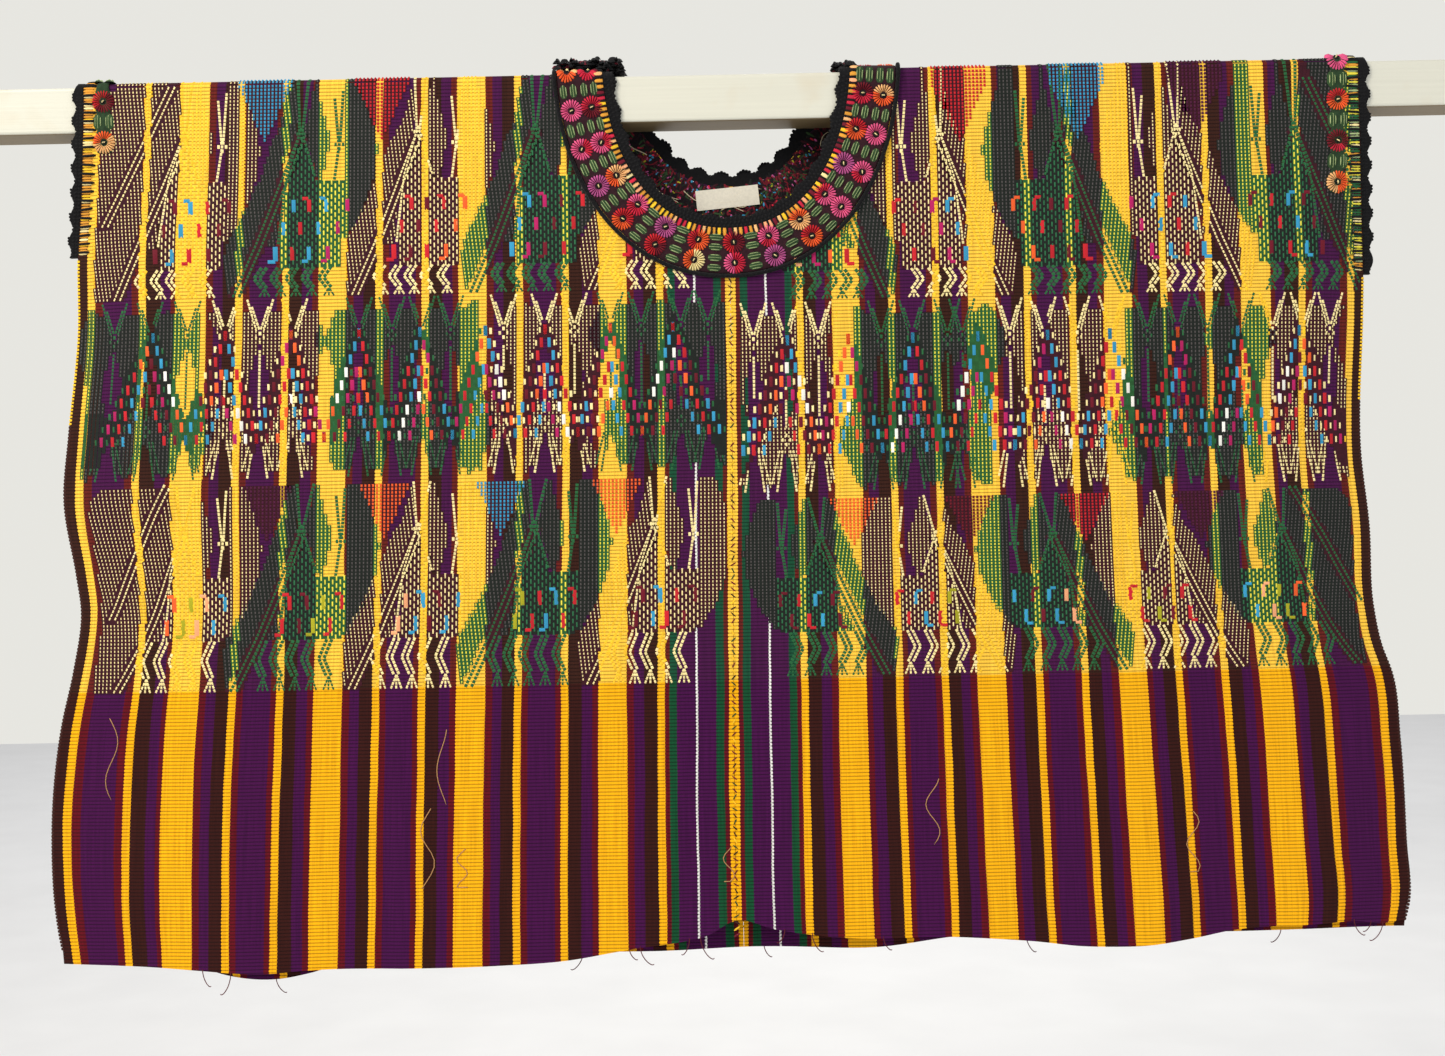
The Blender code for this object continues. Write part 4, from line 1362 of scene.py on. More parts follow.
    def zigzag(self, chart: Chart, peaks: tuple, blocks: tuple) -> None:
        """Three parallel chains of dashes from peak to valley, with knots between them."""
        tops = np.array(sorted(peaks))
        bright = (Yarn.RED, Yarn.MAROON, Yarn.BLUE, Yarn.WHITE, Yarn.ORANGE, Yarn.RED, Yarn.MAGENTA,
                  Yarn.MAROON, Yarn.BLUE, Yarn.RED)
        spans = [(tops[0], tops[0] - 12)]
        for first, second in zip(tops[:-1], tops[1:]):
            spans += [(first, (first + second) / 2), (second, (first + second) / 2)]
        spans.append((tops[-1], tops[-1] + 12))
        steps = np.arange(self.ZIGZAG_STEPS)
        for number, (peak, valley) in enumerate(spans):
            step = (valley - peak) / (self.ZIGZAG_STEPS - 1)
            for line in range(3):
                offset = -2.75 * line * np.sign(step) + 2.75 * np.sign(step)
                column = peak + step * steps + offset - 2.75 * np.sign(step)
                row = self.ZIGZAG_TOP + self.ZIGZAG_STEP * steps
                beyond = (column - peak) * np.sign(step) > -0.3
                for part in range(3):
                    keep = beyond & (steps // 3 == part)
                    yarn = bright[(2 * number + 3 * line + part) % len(bright)]
                    chart.add(column[keep], row[keep], 1.25, 3.1, yarn)
                for first, last, ground in blocks:
                    between = column + 1.38 * np.sign(step)
                    keep = beyond & (between > first) & (between < last)
                    chart.add(between[keep], row[keep] + 0.1, 1.0, 2.0, ground)

    def lay(self, chart: Chart, tier: Tier, face: Face) -> dict[Yarn, list[Stitches]]:
        """Turn a chart into stitches on the cloth, cream ones yellow over gold warp.

        Args:
            chart: the tier's chart.
            tier: the tier.
            face: the front or the back.
        Returns:
            Stitches by yarn.
        """
        column, row = np.concatenate(chart.columns), np.concatenate(chart.rows)
        width, tall, lean = np.concatenate(chart.sizes, axis=1)
        yarn = np.concatenate(chart.yarns)
        run = tier.run(row)
        w = column * COLUMN
        x = self.weave.x_at(w, face.value * run)
        edge = np.abs(self.weave.x_at(np.full(len(w), self.weave.width), run))
        clear = np.abs(x) < edge - 3.5 * MM
        neck_x, neck_run = x, face.value * run
        angle = np.arctan2(neck_run, neck_x)
        band = RING.radius(angle) + RING.band_width - 1 * MM
        clear &= (np.hypot(neck_x, neck_run) > band) & (w > 3.0 * MM)
        yarns = list(Yarn)
        gold = self.weave.stripe_at(w)
        for old, new in self.OVER_GOLD.items():
            yarn = np.where(gold & (yarn == yarns.index(old)), yarns.index(new), yarn)
        clear &= ~(gold & (yarn == yarns.index(Yarn.WEFT_MAROON)))
        pitch = (tier.bottom - tier.top) / tier.rows
        long = np.hypot(tall * pitch, lean * COLUMN)
        slope = np.arctan2(tall * pitch, -lean * COLUMN * self.side.value)
        result = {}
        for number in np.unique(yarn[clear]):
            keep = clear & (yarn == number)
            under = yarns[number] in WEFT_GROUNDS
            height = 0.2 if under else 0.6 if yarns[number] in self.FLAT_YARNS else 1.1
            result[yarns[number]] = [Stitches.of(
                x[keep], face.value * run[keep], slope[keep], long[keep],
                width[keep] * COLUMN, height * MM, ON_CLOTH)]
        return result


@dataclass(frozen=True)
class PanelBrocade:
    """Where the tiers, figures and colours of one panel's brocade lie, in millimetres."""

    side: Side
    tops: tuple[float, float, float, float]
    first_centres: tuple[float, ...]
    third_centres: tuple[float, ...]
    first_yarn: Yarn
    crests: tuple[float, ...]
    blocks: tuple[tuple[float, float, Yarn], ...]
    peaks: tuple[float, ...]
    first_accents: tuple[tuple[int, Yarn], ...]
    third_accents: tuple[tuple[int, Yarn], ...]

    def figure_tier(self, brocade: Brocade, number: int) -> tuple[Tier, Chart]:
        """Chart the first or third tier: its birds and the triangles between them."""
        tall = number == 0
        centres = self.first_centres if tall else self.third_centres
        tier = Tier(self.tops[number] * MM, self.tops[number + 1] * MM, TALL_ROWS if tall else ROWS)
        if tall:
            tier = Tier(tier.bottom - TALL_ROWS * TALL_PITCH, tier.bottom, TALL_ROWS)
        top = -(tier.top + PAST_FOLD) / (tier.bottom - tier.top) * tier.rows if tall else 0.5
        chart = Chart.empty()
        other = Yarn.GREEN if self.first_yarn is Yarn.CREAM else Yarn.CREAM
        for index, centre in enumerate(centres):
            yarn = self.first_yarn if index % 2 == 0 else other
            last = index == len(centres) - 1
            brocade.bird(chart, centre * MM / COLUMN, yarn, tall, last, index + 2 * number, top)
        gap = WIDE_ACCENT_GAP if tall and self.side is Side.RIGHT else ACCENT_GAP
        for index, yarn in self.first_accents if tall else self.third_accents:
            brocade.accent(chart, centres[index] * MM / COLUMN - gap, yarn, top)
        return tier, chart

    def build(self, face: Face) -> dict[Yarn, list[Stitches]]:
        """Lay all three tiers of this panel on one face."""
        brocade = Brocade(self.side)
        middle = Tier(self.tops[1] * MM, self.tops[2] * MM, 51)
        chart = Chart.empty()
        unit = MM / COLUMN
        brocade.crests(chart, middle, tuple(p * unit for p in self.crests),
                       tuple((a * unit, b * unit, yarn) for a, b, yarn in self.blocks),
                       tuple(p * unit for p in self.peaks))
        laid: dict[Yarn, list[Stitches]] = {}
        for tier, tier_chart in (self.figure_tier(brocade, 0), (middle, chart),
                                 self.figure_tier(brocade, 2)):
            for yarn, rows in brocade.lay(tier_chart, tier, face).items():
                laid.setdefault(yarn, []).extend(rows)
        return laid


BROCADES = (
    PanelBrocade(Side.LEFT, (0, 174, 309, 462), (41, 128, 215, 302, 389),
                 (42.5, 130, 214.5, 299, 384), Yarn.CREAM,
                 (17, 37, 66, 88.5, 115, 137, 167, 206, 227, 249, 273, 297.5, 320.5, 345.5, 370.5,
                  398, 425.5, 452),
                 ((4, 92, Yarn.GREEN), (97, 178, Yarn.CREAM), (184, 293, Yarn.GREEN),
                  (303, 387, Yarn.CREAM), (389, 470, Yarn.GREEN)),
                 (42.7, 88.6, 136.6, 180.4, 228.5, 273, 323, 370.6, 423),
                 ((1, Yarn.ORANGE), (4, Yarn.BLUE), (3, Yarn.RED)),
                 ((4, Yarn.PLUM), (3, Yarn.ORANGE), (2, Yarn.BLUE), (1, Yarn.ORANGE))),
    PanelBrocade(Side.RIGHT, (0, 184, 327, 459), (54, 142.4, 230.7, 318.3, 405.8),
                 (49.4, 134.3, 219.3, 303.6, 387.9), Yarn.GREEN,
                 (16.5, 40, 64.5, 111, 134, 160, 171, 206, 231, 256, 282, 307.5, 330, 352, 377,
                  400, 423, 444),
                 ((6, 82, Yarn.CREAM), (91, 192, Yarn.GREEN), (201, 288, Yarn.CREAM),
                  (290, 392, Yarn.GREEN), (394, 458, Yarn.CREAM)),
                 (41.6, 86.5, 134.5, 182.4, 234, 280, 330, 374, 420),
                 ((1, Yarn.ORANGE), (2, Yarn.RED), (3, Yarn.BLUE), (4, Yarn.PLUM)),
                 ((1, Yarn.ORANGE), (2, Yarn.MAROON), (3, Yarn.RED), (4, Yarn.PLUM))),
)


def flat_section(x: np.ndarray, run: np.ndarray, thick: float) -> np.ndarray:
    """Sections of a flat strip whose inner side is level with the cloth's own inner side.

    Args:
        x: places across, by section.
        run: runs of the same points.
        thick: thickness.
    Returns:
        Closed loops of points, outer side first.
    """
    inside = FORM.corner(run) - FORM.cloth / 2
    return np.concatenate((FORM.lifted(x, run, inside + thick),
                           FORM.lifted(x, run, inside)[:, ::-1]), axis=1)


class Needlework:
    """Hand stitches of one piece of trim, gathered by yarn and form before they are sewn."""

    WHEELS = ((Yarn.PINK, Yarn.PINK), (Yarn.DARK_RED, Yarn.CRIMSON), (Yarn.CREAM, Yarn.ORANGE),
              (Yarn.PINK, Yarn.CRIMSON), (Yarn.MAUVE, Yarn.MAUVE), (Yarn.ORANGE, Yarn.RED),
              (Yarn.CRIMSON, Yarn.PINK), (Yarn.APRICOT, Yarn.ORANGE), (Yarn.RED, Yarn.DARK_RED))

    def __init__(self, name: str, slot: str = "embroidery") -> None:
        """Start with no stitches."""
        self.name, self.slot = name, slot
        self.sets: dict[tuple[Yarn, Template, bool], list[Stitches]] = {}

    def add(self, yarn: Yarn, stitches: Stitches, template: Template = Template.SATIN,
            inward: bool = False) -> None:
        """Keep stitches of one yarn."""
        self.sets.setdefault((yarn, template, inward), []).append(stitches)

    def wheel(self, x: float, run: float, lift: float, kind: int, number: int,
              petals: int = 22) -> None:
        """A flower: petals of satin stitch round a dark eye with one pale knot.

        Args:
            x: its middle across the blouse.
            run: its middle's run.
            lift: lift of its ground.
            kind: number of its pair of yarns.
            number: decides how the two yarns share the round.
            petals: number of stitches.
        """
        first, second = self.WHEELS[kind]
        turn = np.arange(petals) * 2 * pi / petals
        where = 5.35 * MM
        start = (number * 137) % 360 * pi / 180
        ahead = np.mod(turn - start, 2 * pi) < pi * (0.9 + 0.25 * (number % 3))
        draw = np.random.default_rng(SEED + number)
        length = draw.uniform(5.3, 6.3, petals) * MM
        for yarn, keep in ((first, ahead), (second, ~ahead)):
            a = turn[keep]
            self.add(yarn, Stitches.of(x + where * np.cos(a), run - where * np.sin(a), a,
                                       length[keep], 1.75 * MM, 2.1 * MM, lift), Template.PETAL)
        eye = np.arange(6) * pi / 3
        self.add(Yarn.BLACK, Stitches.of(x + 1.1 * MM * np.cos(eye), run - 1.1 * MM * np.sin(eye),
                                         eye, 2.8 * MM, 2.2 * MM, 1.3 * MM, lift))
        self.add(Yarn.CREAM, Stitches.of(np.array([x]), np.array([run]), start, 3.0 * MM, 1.5 * MM,
                                         2.6 * MM, lift))

    def leaf(self, x: float, run: float, angle: float, lift: float) -> None:
        """An oval leaf: a dark padded oval with three light stitches along it.

        Args:
            x: its middle across the blouse.
            run: its middle's run.
            angle: direction of its stitches.
            lift: lift of its ground.
        """
        self.add(Yarn.MOSS, Stitches.of(np.array([x]), np.array([run]), angle, 11.2 * MM, 7.2 * MM,
                                        1.7 * MM, lift))
        across = (np.arange(3) - 1) * 1.9 * MM
        self.add(Yarn.LEAF, Stitches.of(x - across * np.sin(angle), run - across * np.cos(angle),
                                        angle, np.array((6.4, 9.4, 6.4)) * MM, 0.8 * MM,
                                        1.2 * MM, lift + np.array((0.6, 1.0, 0.6)) * MM))

    def sew(self) -> None:
        """Sew one piece for each yarn and form."""
        for (yarn, template, inward), rows in self.sets.items():
            side = "_inner" if inward else ""
            sew(f"{self.name}_{template.name.lower()}{side}_{yarn.name.lower()}",
                Stitches.joined(rows), yarn, template, inward)


class NeckTrim:
    """The embroidered ring round the neck with its border cord and crocheted edging."""

    pairs = 27
    first_pair = 0.048
    # Wheel kinds from the right fold down the front to the left fold, inner and outer ring
    inner_kinds = (1, 5, 4, 6, 7, 3, 8, 5, 4, 6, 7, 3, 1)
    outer_kinds = (7, 0, 3, 0, 5, 4, 3, 2, 8, 5, 4, 3, 0)
    inner_row = 10.4 * MM
    outer_row = 25.4 * MM
    border = 3.0 * MM
    lobes = 32
    under = FORM.cloth / 2 + FORM.gap
    ground_thick = 1.1 * MM

    def ground(self) -> bpy.types.Object:
        """Dark stitched ground that replaces the band's solid, rounded at both edges."""
        shares = (np.arange(232) / 232)[:, None]
        offsets = np.array((0, 0.6, 4, 16.5, 29, 32.4, 33)) * MM
        x, run, _ = RING.place(shares, offsets)
        crown = np.array((0.4, 0.9, 1.0, 1.0, 1.0, 0.9, 0.4)) * self.ground_thick
        top = FORM.lifted(x, run, self.under + crown + FORM.corner(run))
        x, run, _ = RING.place(shares, offsets[::-3])
        low = FORM.lifted(x, run, self.under + FORM.corner(run))
        ground = Finish("stitched_ground_of_dark_cotton", "#2A0D16", 0.85, 0.1, 0.6 * MM, 0.35,
                        0.3 * MM).material()
        item = loft("neck_band_ground", np.concatenate((top, low), axis=1), True, ground)
        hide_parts("neck_band")
        return item

    def reverse_ground(self) -> bpy.types.Object:
        """Flat dark reverse of the embroidery on the cloth's inner side."""
        shares = (np.arange(232) / 232)[:, None]
        x, run, _ = RING.place(shares, np.array((0.5, 16.5, 32.5)) * MM)
        near, far = (FORM.lifted(x, run, np.full(x.shape, -(FORM.cloth / 2 + depth)))
                     for depth in (0.02 * MM, 0.22 * MM))
        dark = Finish("reverse_of_dark_cotton_stitches", "#1C0B12", 0.9, 0.05, 0.6 * MM, 0.35)
        return loft("neck_band_reverse", np.concatenate((near, far[:, ::-1]), axis=1), True,
                    dark.material())

    def edging(self, black: bpy.types.Material) -> bpy.types.Object:
        """Crocheted strip inside the cut edge, with deeper lobes along the back."""
        shares = np.arange(720) / 720
        _, run_mid, _ = RING.place(shares, np.zeros(len(shares)))
        back = ease(-run_mid / (40 * MM))
        wave = np.abs(np.sin(pi * shares * self.lobes))
        uneven = 0.75 + 0.35 * np.sin(2 * pi * shares * 7 + 1)
        free = -(7.2 + (1.4 + 1.8 * back) * wave * uneven) * MM
        held = np.full(len(shares), -0.1 * MM)
        offsets = np.stack((free, free * 0.92, free * 0.5, held), axis=-1)
        x, run, _ = RING.place(shares[:, None], offsets)
        item = loft("neck_crochet_edging", flat_section(x, run, 2.4 * MM), True, black,
                    60)
        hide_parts("neck_edging")
        return item

    def border_cord(self, black: bpy.types.Material) -> bpy.types.Object:
        """Round black cord on the band's outer side: a circle carried along the ring."""
        shares = (np.arange(420) / 420)[:, None]
        radius = self.border / 2
        turn = np.linspace(0, 2 * pi, 10, endpoint=False)
        offset = RING.band_width + FORM.gap + radius + radius * np.cos(turn)
        x, run, _ = RING.place(shares, offset)
        lift = self.under + radius + radius * np.sin(turn) + FORM.corner(run)
        item = loft("neck_border_cord", FORM.lifted(x, run, lift), True, black)
        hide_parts("neck_border")
        return item

    def flowers(self, work: Needlework) -> None:
        """Wheels in two rings and, halfway between them, leaves in two pairs across the band."""
        for number in range(self.pairs):
            share = self.first_pair + number / self.pairs
            for offset, kinds in ((self.inner_row, self.inner_kinds),
                                  (self.outer_row, self.outer_kinds)):
                x, run, _ = (float(v) for v in RING.place(share, offset))
                lift = self.under + self.ground_thick + float(FORM.corner(run)) - 0.3 * MM
                work.wheel(x, run, lift, kinds[number % len(kinds)], number)
                for aside in (-3.6, 3.6):
                    x, run, angle = (float(v) for v in RING.place(
                        share + 0.5 / self.pairs, offset + aside * MM))
                    lift = self.under + self.ground_thick + float(FORM.corner(run)) - 0.3 * MM
                    work.leaf(x, run, angle + pi / 2, lift)

    def blanket(self, work: Needlework) -> None:
        """Bright wraps with black blanket stitches between them, on the band's inner side."""
        bright = (Yarn.AMBER, Yarn.YELLOW, Yarn.AMBER, Yarn.PEACH, Yarn.APRICOT, Yarn.CREAM,
                  Yarn.CRIMSON, Yarn.AMBER, Yarn.YELLOW, Yarn.MAROON)
        count = 168
        number = np.arange(count)
        draw = np.random.default_rng(SEED + 1)
        pick = draw.integers(0, len(bright), count)
        for kind, yarn in enumerate(bright):
            share = number[pick == kind] / count
            x, run, angle = RING.place(share, np.full(len(share), 2.9 * MM))
            work.add(yarn, Stitches.of(x, run, angle, 6.2 * MM, 4.0 * MM, 0.9 * MM,
                                       self.under + 0.9 * MM + FORM.corner(run)))
        share = (number + 0.5 + draw.uniform(-0.12, 0.12, count)) / count
        x, run, angle = RING.place(share, np.full(count, 2.5 * MM))
        work.add(Yarn.BLACK, Stitches.of(x, run, angle + draw.uniform(-0.15, 0.15, count),
                                         6.8 * MM, 1.25 * MM, 1.5 * MM,
                                         self.under + 1.1 * MM + FORM.corner(run)))

    def crochet(self, work: Needlework) -> None:
        """Black knots of the crocheted edging and the chained stitches on the border cord."""
        draw = np.random.default_rng(SEED + 2)
        for row, (offset, count, length) in enumerate(((-1.6, 200, 3.2), (-4.2, 200, 3.4),
                                                       (-6.8, 180, 3.2))):
            share = (np.arange(count) + 0.5 * (row % 2)) / count
            x, run, angle = RING.place(share, np.full(count, offset * MM))
            work.add(Yarn.BLACK, Stitches.of(x, run, angle + draw.uniform(-0.6, 0.6, count),
                                             length * MM, 2.2 * MM, 1.1 * MM,
                                             FORM.corner(run) - FORM.cloth / 2 + 2.2 * MM))
        share = (np.arange(self.lobes) + 0.5) / self.lobes
        _, run_mid, _ = RING.place(share, np.zeros(self.lobes))
        back = ease(-run_mid / (40 * MM))
        for turn in (-1.1, -0.55, 0.0, 0.55, 1.1):
            x, run, angle = RING.place(share + turn * 0.006,
                                       -(8.4 + 1.6 * back - 1.2 * abs(turn)) * MM)
            work.add(Yarn.BLACK, Stitches.of(x, run, angle + turn, 4.2 * MM, 2.8 * MM, 1.5 * MM,
                                             FORM.corner(run) - FORM.cloth / 2 + 1.2 * MM))
        count = 230
        share = np.arange(count) / count
        radius = self.border / 2
        x, run, angle = RING.place(share, np.full(count, RING.band_width + FORM.gap + radius))
        tilt = np.where(np.arange(count) % 2 == 0, 0.5, -0.5)
        top = self.under + self.border - 0.5 * MM + FORM.corner(run)
        work.add(Yarn.BLACK, Stitches.of(x, run, angle + pi / 2 + tilt, 3.4 * MM, 1.7 * MM,
                                         1.0 * MM, top))

    def reverse_side(self, work: Needlework) -> None:
        """Back of the embroidery, seen inside the neck: short strokes of every colour."""
        yarns = (Yarn.BLACK, Yarn.BLACK, Yarn.MAROON, Yarn.DARK_RED, Yarn.BLACK, Yarn.WEFT_MAROON,
                 Yarn.MOSS, Yarn.BLACK, Yarn.DARK_RED, Yarn.WEFT_GREEN, Yarn.MAROON, Yarn.BLACK,
                 Yarn.DARK_RED, Yarn.WEFT_MAROON, Yarn.MOSS, Yarn.CRIMSON, Yarn.OLIVE, Yarn.MAUVE,
                 Yarn.BLUE, Yarn.MAROON)
        count = 5200
        draw = np.random.default_rng(SEED + 3)
        share, offset = draw.uniform(0, 1, count), draw.uniform(0.5, 32, count) * MM
        x, run, angle = RING.place(share, offset)
        keep = np.abs(run) > 26 * MM
        pick = draw.integers(0, len(yarns), count)
        turn = angle + draw.normal(0, 0.9, count)
        length = draw.uniform(4, 9, count) * MM
        bright = (Yarn.CRIMSON, Yarn.OLIVE, Yarn.MAUVE, Yarn.BLUE, Yarn.MAROON)
        for kind, yarn in enumerate(yarns):
            some = keep & (pick == kind)
            long = length[some] * (0.45 if yarn in bright else 1.0)
            work.add(yarn, Stitches.of(x[some], run[some], turn[some], long, 2.0 * MM,
                                       0.4 * MM, FORM.cloth / 2 + 0.25 * MM), Template.SATIN, True)

    def tuft(self, work: Needlework) -> None:
        """Bunched black crochet on the fold beside the neck, larger at the left."""
        draw = np.random.default_rng(SEED + 4)
        for low, high, count, tall in ((-125, -76, 420, 10.0), (79, 92, 60, 4.0)):
            x = draw.uniform(low, high, count) * MM
            run = draw.uniform(-18, 16, count) * MM
            lift = draw.uniform(1.5, tall, count) * MM + 1.6 * MM
            for yarn, part in ((Yarn.BLACK, slice(0, None, 1)), (Yarn.MAROON, slice(0, count, 9))):
                work.add(yarn, Stitches.of(x[part], run[part], draw.uniform(0, pi, count)[part],
                                           draw.uniform(4, 8, count)[part] * MM, 2.6 * MM,
                                           2.2 * MM, lift[part]))

    def build(self, black: bpy.types.Material) -> None:
        """Build every piece of the neck's trim."""
        self.ground()
        self.reverse_ground()
        self.edging(black)
        self.border_cord(black)
        work = Needlework("neck_embroidery")
        self.flowers(work)
        self.blanket(work)
        self.reverse_side(work)
        work.sew()
        crochet = Needlework("neck_crochet", "black_cotton")
        self.crochet(crochet)
        self.tuft(crochet)
        crochet.sew()


class ArmholeTrim:
    """Crocheted edging and the ground of the flower column at one armhole."""

    SCALLOP = 17 * MM
    # Wheel kinds from the back over the fold to the front
    KINDS = {Side.LEFT: (4, 2, 6, 8, 7), Side.RIGHT: (2, 4, 8, 0, 5, 1, 7)}
    WRAPS = {Side.LEFT: (Yarn.AMBER, Yarn.YELLOW, Yarn.AMBER, Yarn.CREAM, Yarn.AMBER),
             Side.RIGHT: (Yarn.CREAM, Yarn.LEAF, Yarn.AMBER, Yarn.GREEN, Yarn.LEMON, Yarn.GREEN)}

    def __init__(self, hole: Armhole) -> None:
        """Keep the armhole."""
        self.hole = hole
        self.name = hole.side.name.lower()

    def edge(self, height: np.ndarray) -> np.ndarray:
        """Outer edge of this armhole's panel."""
        return FORM.edge(self.hole.side, height)

    def edging(self, black: bpy.types.Material) -> bpy.types.Object:
        """Crocheted strip along the armhole, scalloped outwards."""
        limit = float(FORM.run_at(self.hole.end))
        runs = np.linspace(limit, -limit, 260)
        edge = self.edge(FORM.height_at(runs))
        wave = np.abs(np.sin(pi * runs / self.SCALLOP))
        wide = (4.4 + 3.2 * wave) * MM
        x = edge[:, None] + self.hole.side.value * np.stack(
            (np.full(len(runs), FORM.gap), wide * 0.6, wide), axis=-1)
        section = flat_section(x, np.broadcast_to(runs[:, None], x.shape), 1.9 * MM)
        item = loft(f"{self.name}_armhole_crochet", section, False, black, 60)
        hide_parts(f"{self.name}_armhole_edging")
        return item

    def column(self) -> bpy.types.Object:
        """Low strip of dark stitching under the column of flowers."""
        pitch = 29.5 * MM
        end = (self.hole.flowers - 1) / 2 * pitch + 7.4 * MM
        runs = np.linspace(end, -end, 120) + self.hole.shift
        half = 5.2 * MM + 1.4 * MM * np.cos(2 * pi * (runs - self.hole.shift) / pitch)
        x = self.hole.column_x + half[:, None] * np.array((-1, -0.7, 0, 0.7, 1))
        run = np.broadcast_to(runs[:, None], x.shape)
        under = FORM.cloth / 2 + FORM.gap + FORM.corner(run)
        crown = np.array((0.1, 0.6, 0.7, 0.6, 0.1)) * MM
        top = FORM.lifted(x, run, under + crown)
        low = FORM.lifted(x[:, ::-2], run[:, ::-2], under[:, ::-2])
        ground = Finish("stitched_ground_of_green_cotton", "#243A22", 0.85, 0.1, 0.6 * MM, 0.3,
                        0.3 * MM).material()
        item = loft(f"{self.name}_flower_column_ground", np.concatenate((top, low), axis=1), False,
                    ground)
        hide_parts(f"{self.name}_embroidery")
        return item

    def flowers(self, work: Needlework) -> None:
        """Wheels down the column with a pair of leaves above and below each."""
        under = FORM.cloth / 2 + FORM.gap + 0.3 * MM
        middle = (self.hole.flowers - 1) / 2
        for number in range(self.hole.flowers):
            run = (number - middle) * FLOWER_PITCH + self.hole.shift
            work.wheel(self.hole.column_x, run, under + float(FORM.corner(run)),
                       self.KINDS[self.hole.side][number], number)
            if number:
                run -= FLOWER_PITCH / 2
                for aside in (-3.9, 3.9):
                    work.leaf(self.hole.column_x + aside * MM, run, pi / 2,
                              under + float(FORM.corner(run)))

    def blanket(self, work: Needlework) -> None:
        """Pale wraps along the armhole's edge, crossed by black bars of blanket stitch."""
        limit = float(FORM.run_at(self.hole.end)) - 2 * MM
        pitch = 6.2 * MM
        sign = self.hole.side.value
        bars = np.arange(-int(limit / pitch), int(limit / pitch) + 1) * pitch
        draw = np.random.default_rng(SEED + 6 + sign)
        edge = self.edge(FORM.height_at(bars))
        work.add(Yarn.BLACK, Stitches.of(edge - sign * 4.6 * MM, bars,
                                         draw.uniform(-0.12, 0.12, len(bars)), 11.5 * MM, 2.6 * MM,
                                         2.4 * MM, FORM.cloth / 2 + FORM.corner(bars)))
        wraps = np.arange(bars[0], bars[-1], pitch / 3) + pitch / 6
        yarns = self.WRAPS[self.hole.side]
        pick = draw.integers(0, len(yarns), len(wraps))
        for kind, yarn in enumerate(yarns):
            runs = wraps[pick == kind]
            edge = self.edge(FORM.height_at(runs))
            work.add(yarn, Stitches.of(edge - sign * 4.4 * MM, runs, 0.0, 8.6 * MM, 2.2 * MM,
                                       0.7 * MM, FORM.cloth / 2 + FORM.corner(runs) * 0.5))

    def crochet(self, work: Needlework) -> None:
        """Knots of the crocheted edging, in two rows, and a small picot on every scallop."""
        limit = float(FORM.run_at(self.hole.end)) - 2 * MM
        sign = self.hole.side.value
        draw = np.random.default_rng(SEED + 8 + sign)
        for out, pitch in ((1.6, 2.6), (4.2, 2.6)):
            runs = np.arange(-limit, limit, pitch * MM)
            edge = self.edge(FORM.height_at(runs))
            for inward in (False, True):
                work.add(Yarn.BLACK, Stitches.of(edge + sign * out * MM, runs,
                                                 draw.uniform(-0.7, 0.7, len(runs)), 3.6 * MM,
                                                 2.3 * MM, 1.0 * MM, 0.6 * MM),
                         Template.SATIN, inward)
        count = int(limit / self.SCALLOP)
        runs = (np.arange(-count, count) + 0.5) * self.SCALLOP
        edge = self.edge(FORM.height_at(runs))
        for turn in (-0.7, 0.0, 0.7):
            work.add(Yarn.BLACK, Stitches.of(edge + sign * 7.3 * MM, runs + turn * 2.4 * MM,
                                             -turn * sign, 3.4 * MM, 2.1 * MM, 1.2 * MM,
                                             -0.2 * MM))

    def build(self, black: bpy.types.Material) -> None:
        """Build the armhole's edging and the ground of its flowers."""
        self.edging(black)
        self.column()
        work = Needlework(f"{self.name}_armhole_embroidery")
        self.flowers(work)
        self.blanket(work)
        work.sew()
        crochet = Needlework(f"{self.name}_armhole_crochet", "black_cotton")
        self.crochet(crochet)
        crochet.sew()


class Seams:
    """Stitches that join the panels, and the weft's turns along the selvedges."""

    def centre(self, work: Needlework) -> None:
        """Slanting stitches over the centre seam, front and back."""
        draw = np.random.default_rng(SEED + 11)
        for face in Face:
            start = RING.front_run if face is Face.FRONT else RING.back_run
            runs = face.value * np.arange(start + 38 * MM, 648 * MM, 4.6 * MM)
            x = FORM.inner_edge(FORM.height_at(runs), runs > 0)
            turn = draw.uniform(0.5, 1.1, len(runs)) * np.where(draw.random(len(runs)) < 0.5, 1, -1)
            pick = draw.integers(0, 6, len(runs))
            for kind, yarn in enumerate((Yarn.BROWN, Yarn.MAROON, Yarn.BLACK, Yarn.MAROON,
                                         Yarn.YELLOW, Yarn.MOSS)):
                keep = pick == kind
                work.add(yarn, Stitches.of(x[keep], runs[keep], turn[keep], 5.2 * MM, 1.3 * MM,
                                           0.7 * MM, FORM.cloth / 2))

    def selvedges(self, work: Needlework) -> None:
        """A bead of weft at every second pick along each open edge below the armholes."""
        for hole in ARMHOLES.values():
            for face in Face:
                runs = face.value * np.arange(float(FORM.run_at(hole.end)) + 3 * MM, 650 * MM,
                                              2.6 * MM)
                height = FORM.height_at(runs)
                x = FORM.edge(hole.side, height) - hole.side.value * 0.7 * MM
                for yarn, keep in ((Yarn.YELLOW, np.abs(runs) < 265 * MM),
                                   (Yarn.BROWN, np.abs(runs) >= 265 * MM)):
                    work.add(yarn, Stitches.of(x[keep], runs[keep], 0.0, 2.6 * MM, 2.3 * MM,
                                               0.6 * MM, FORM.cloth / 2))

    def build(self) -> None:
        """Sew the seam and the selvedges."""
        work = Needlework("seam_and_selvedge", "woven_cloth")
        self.centre(work)
        self.selvedges(work)
        work.sew()


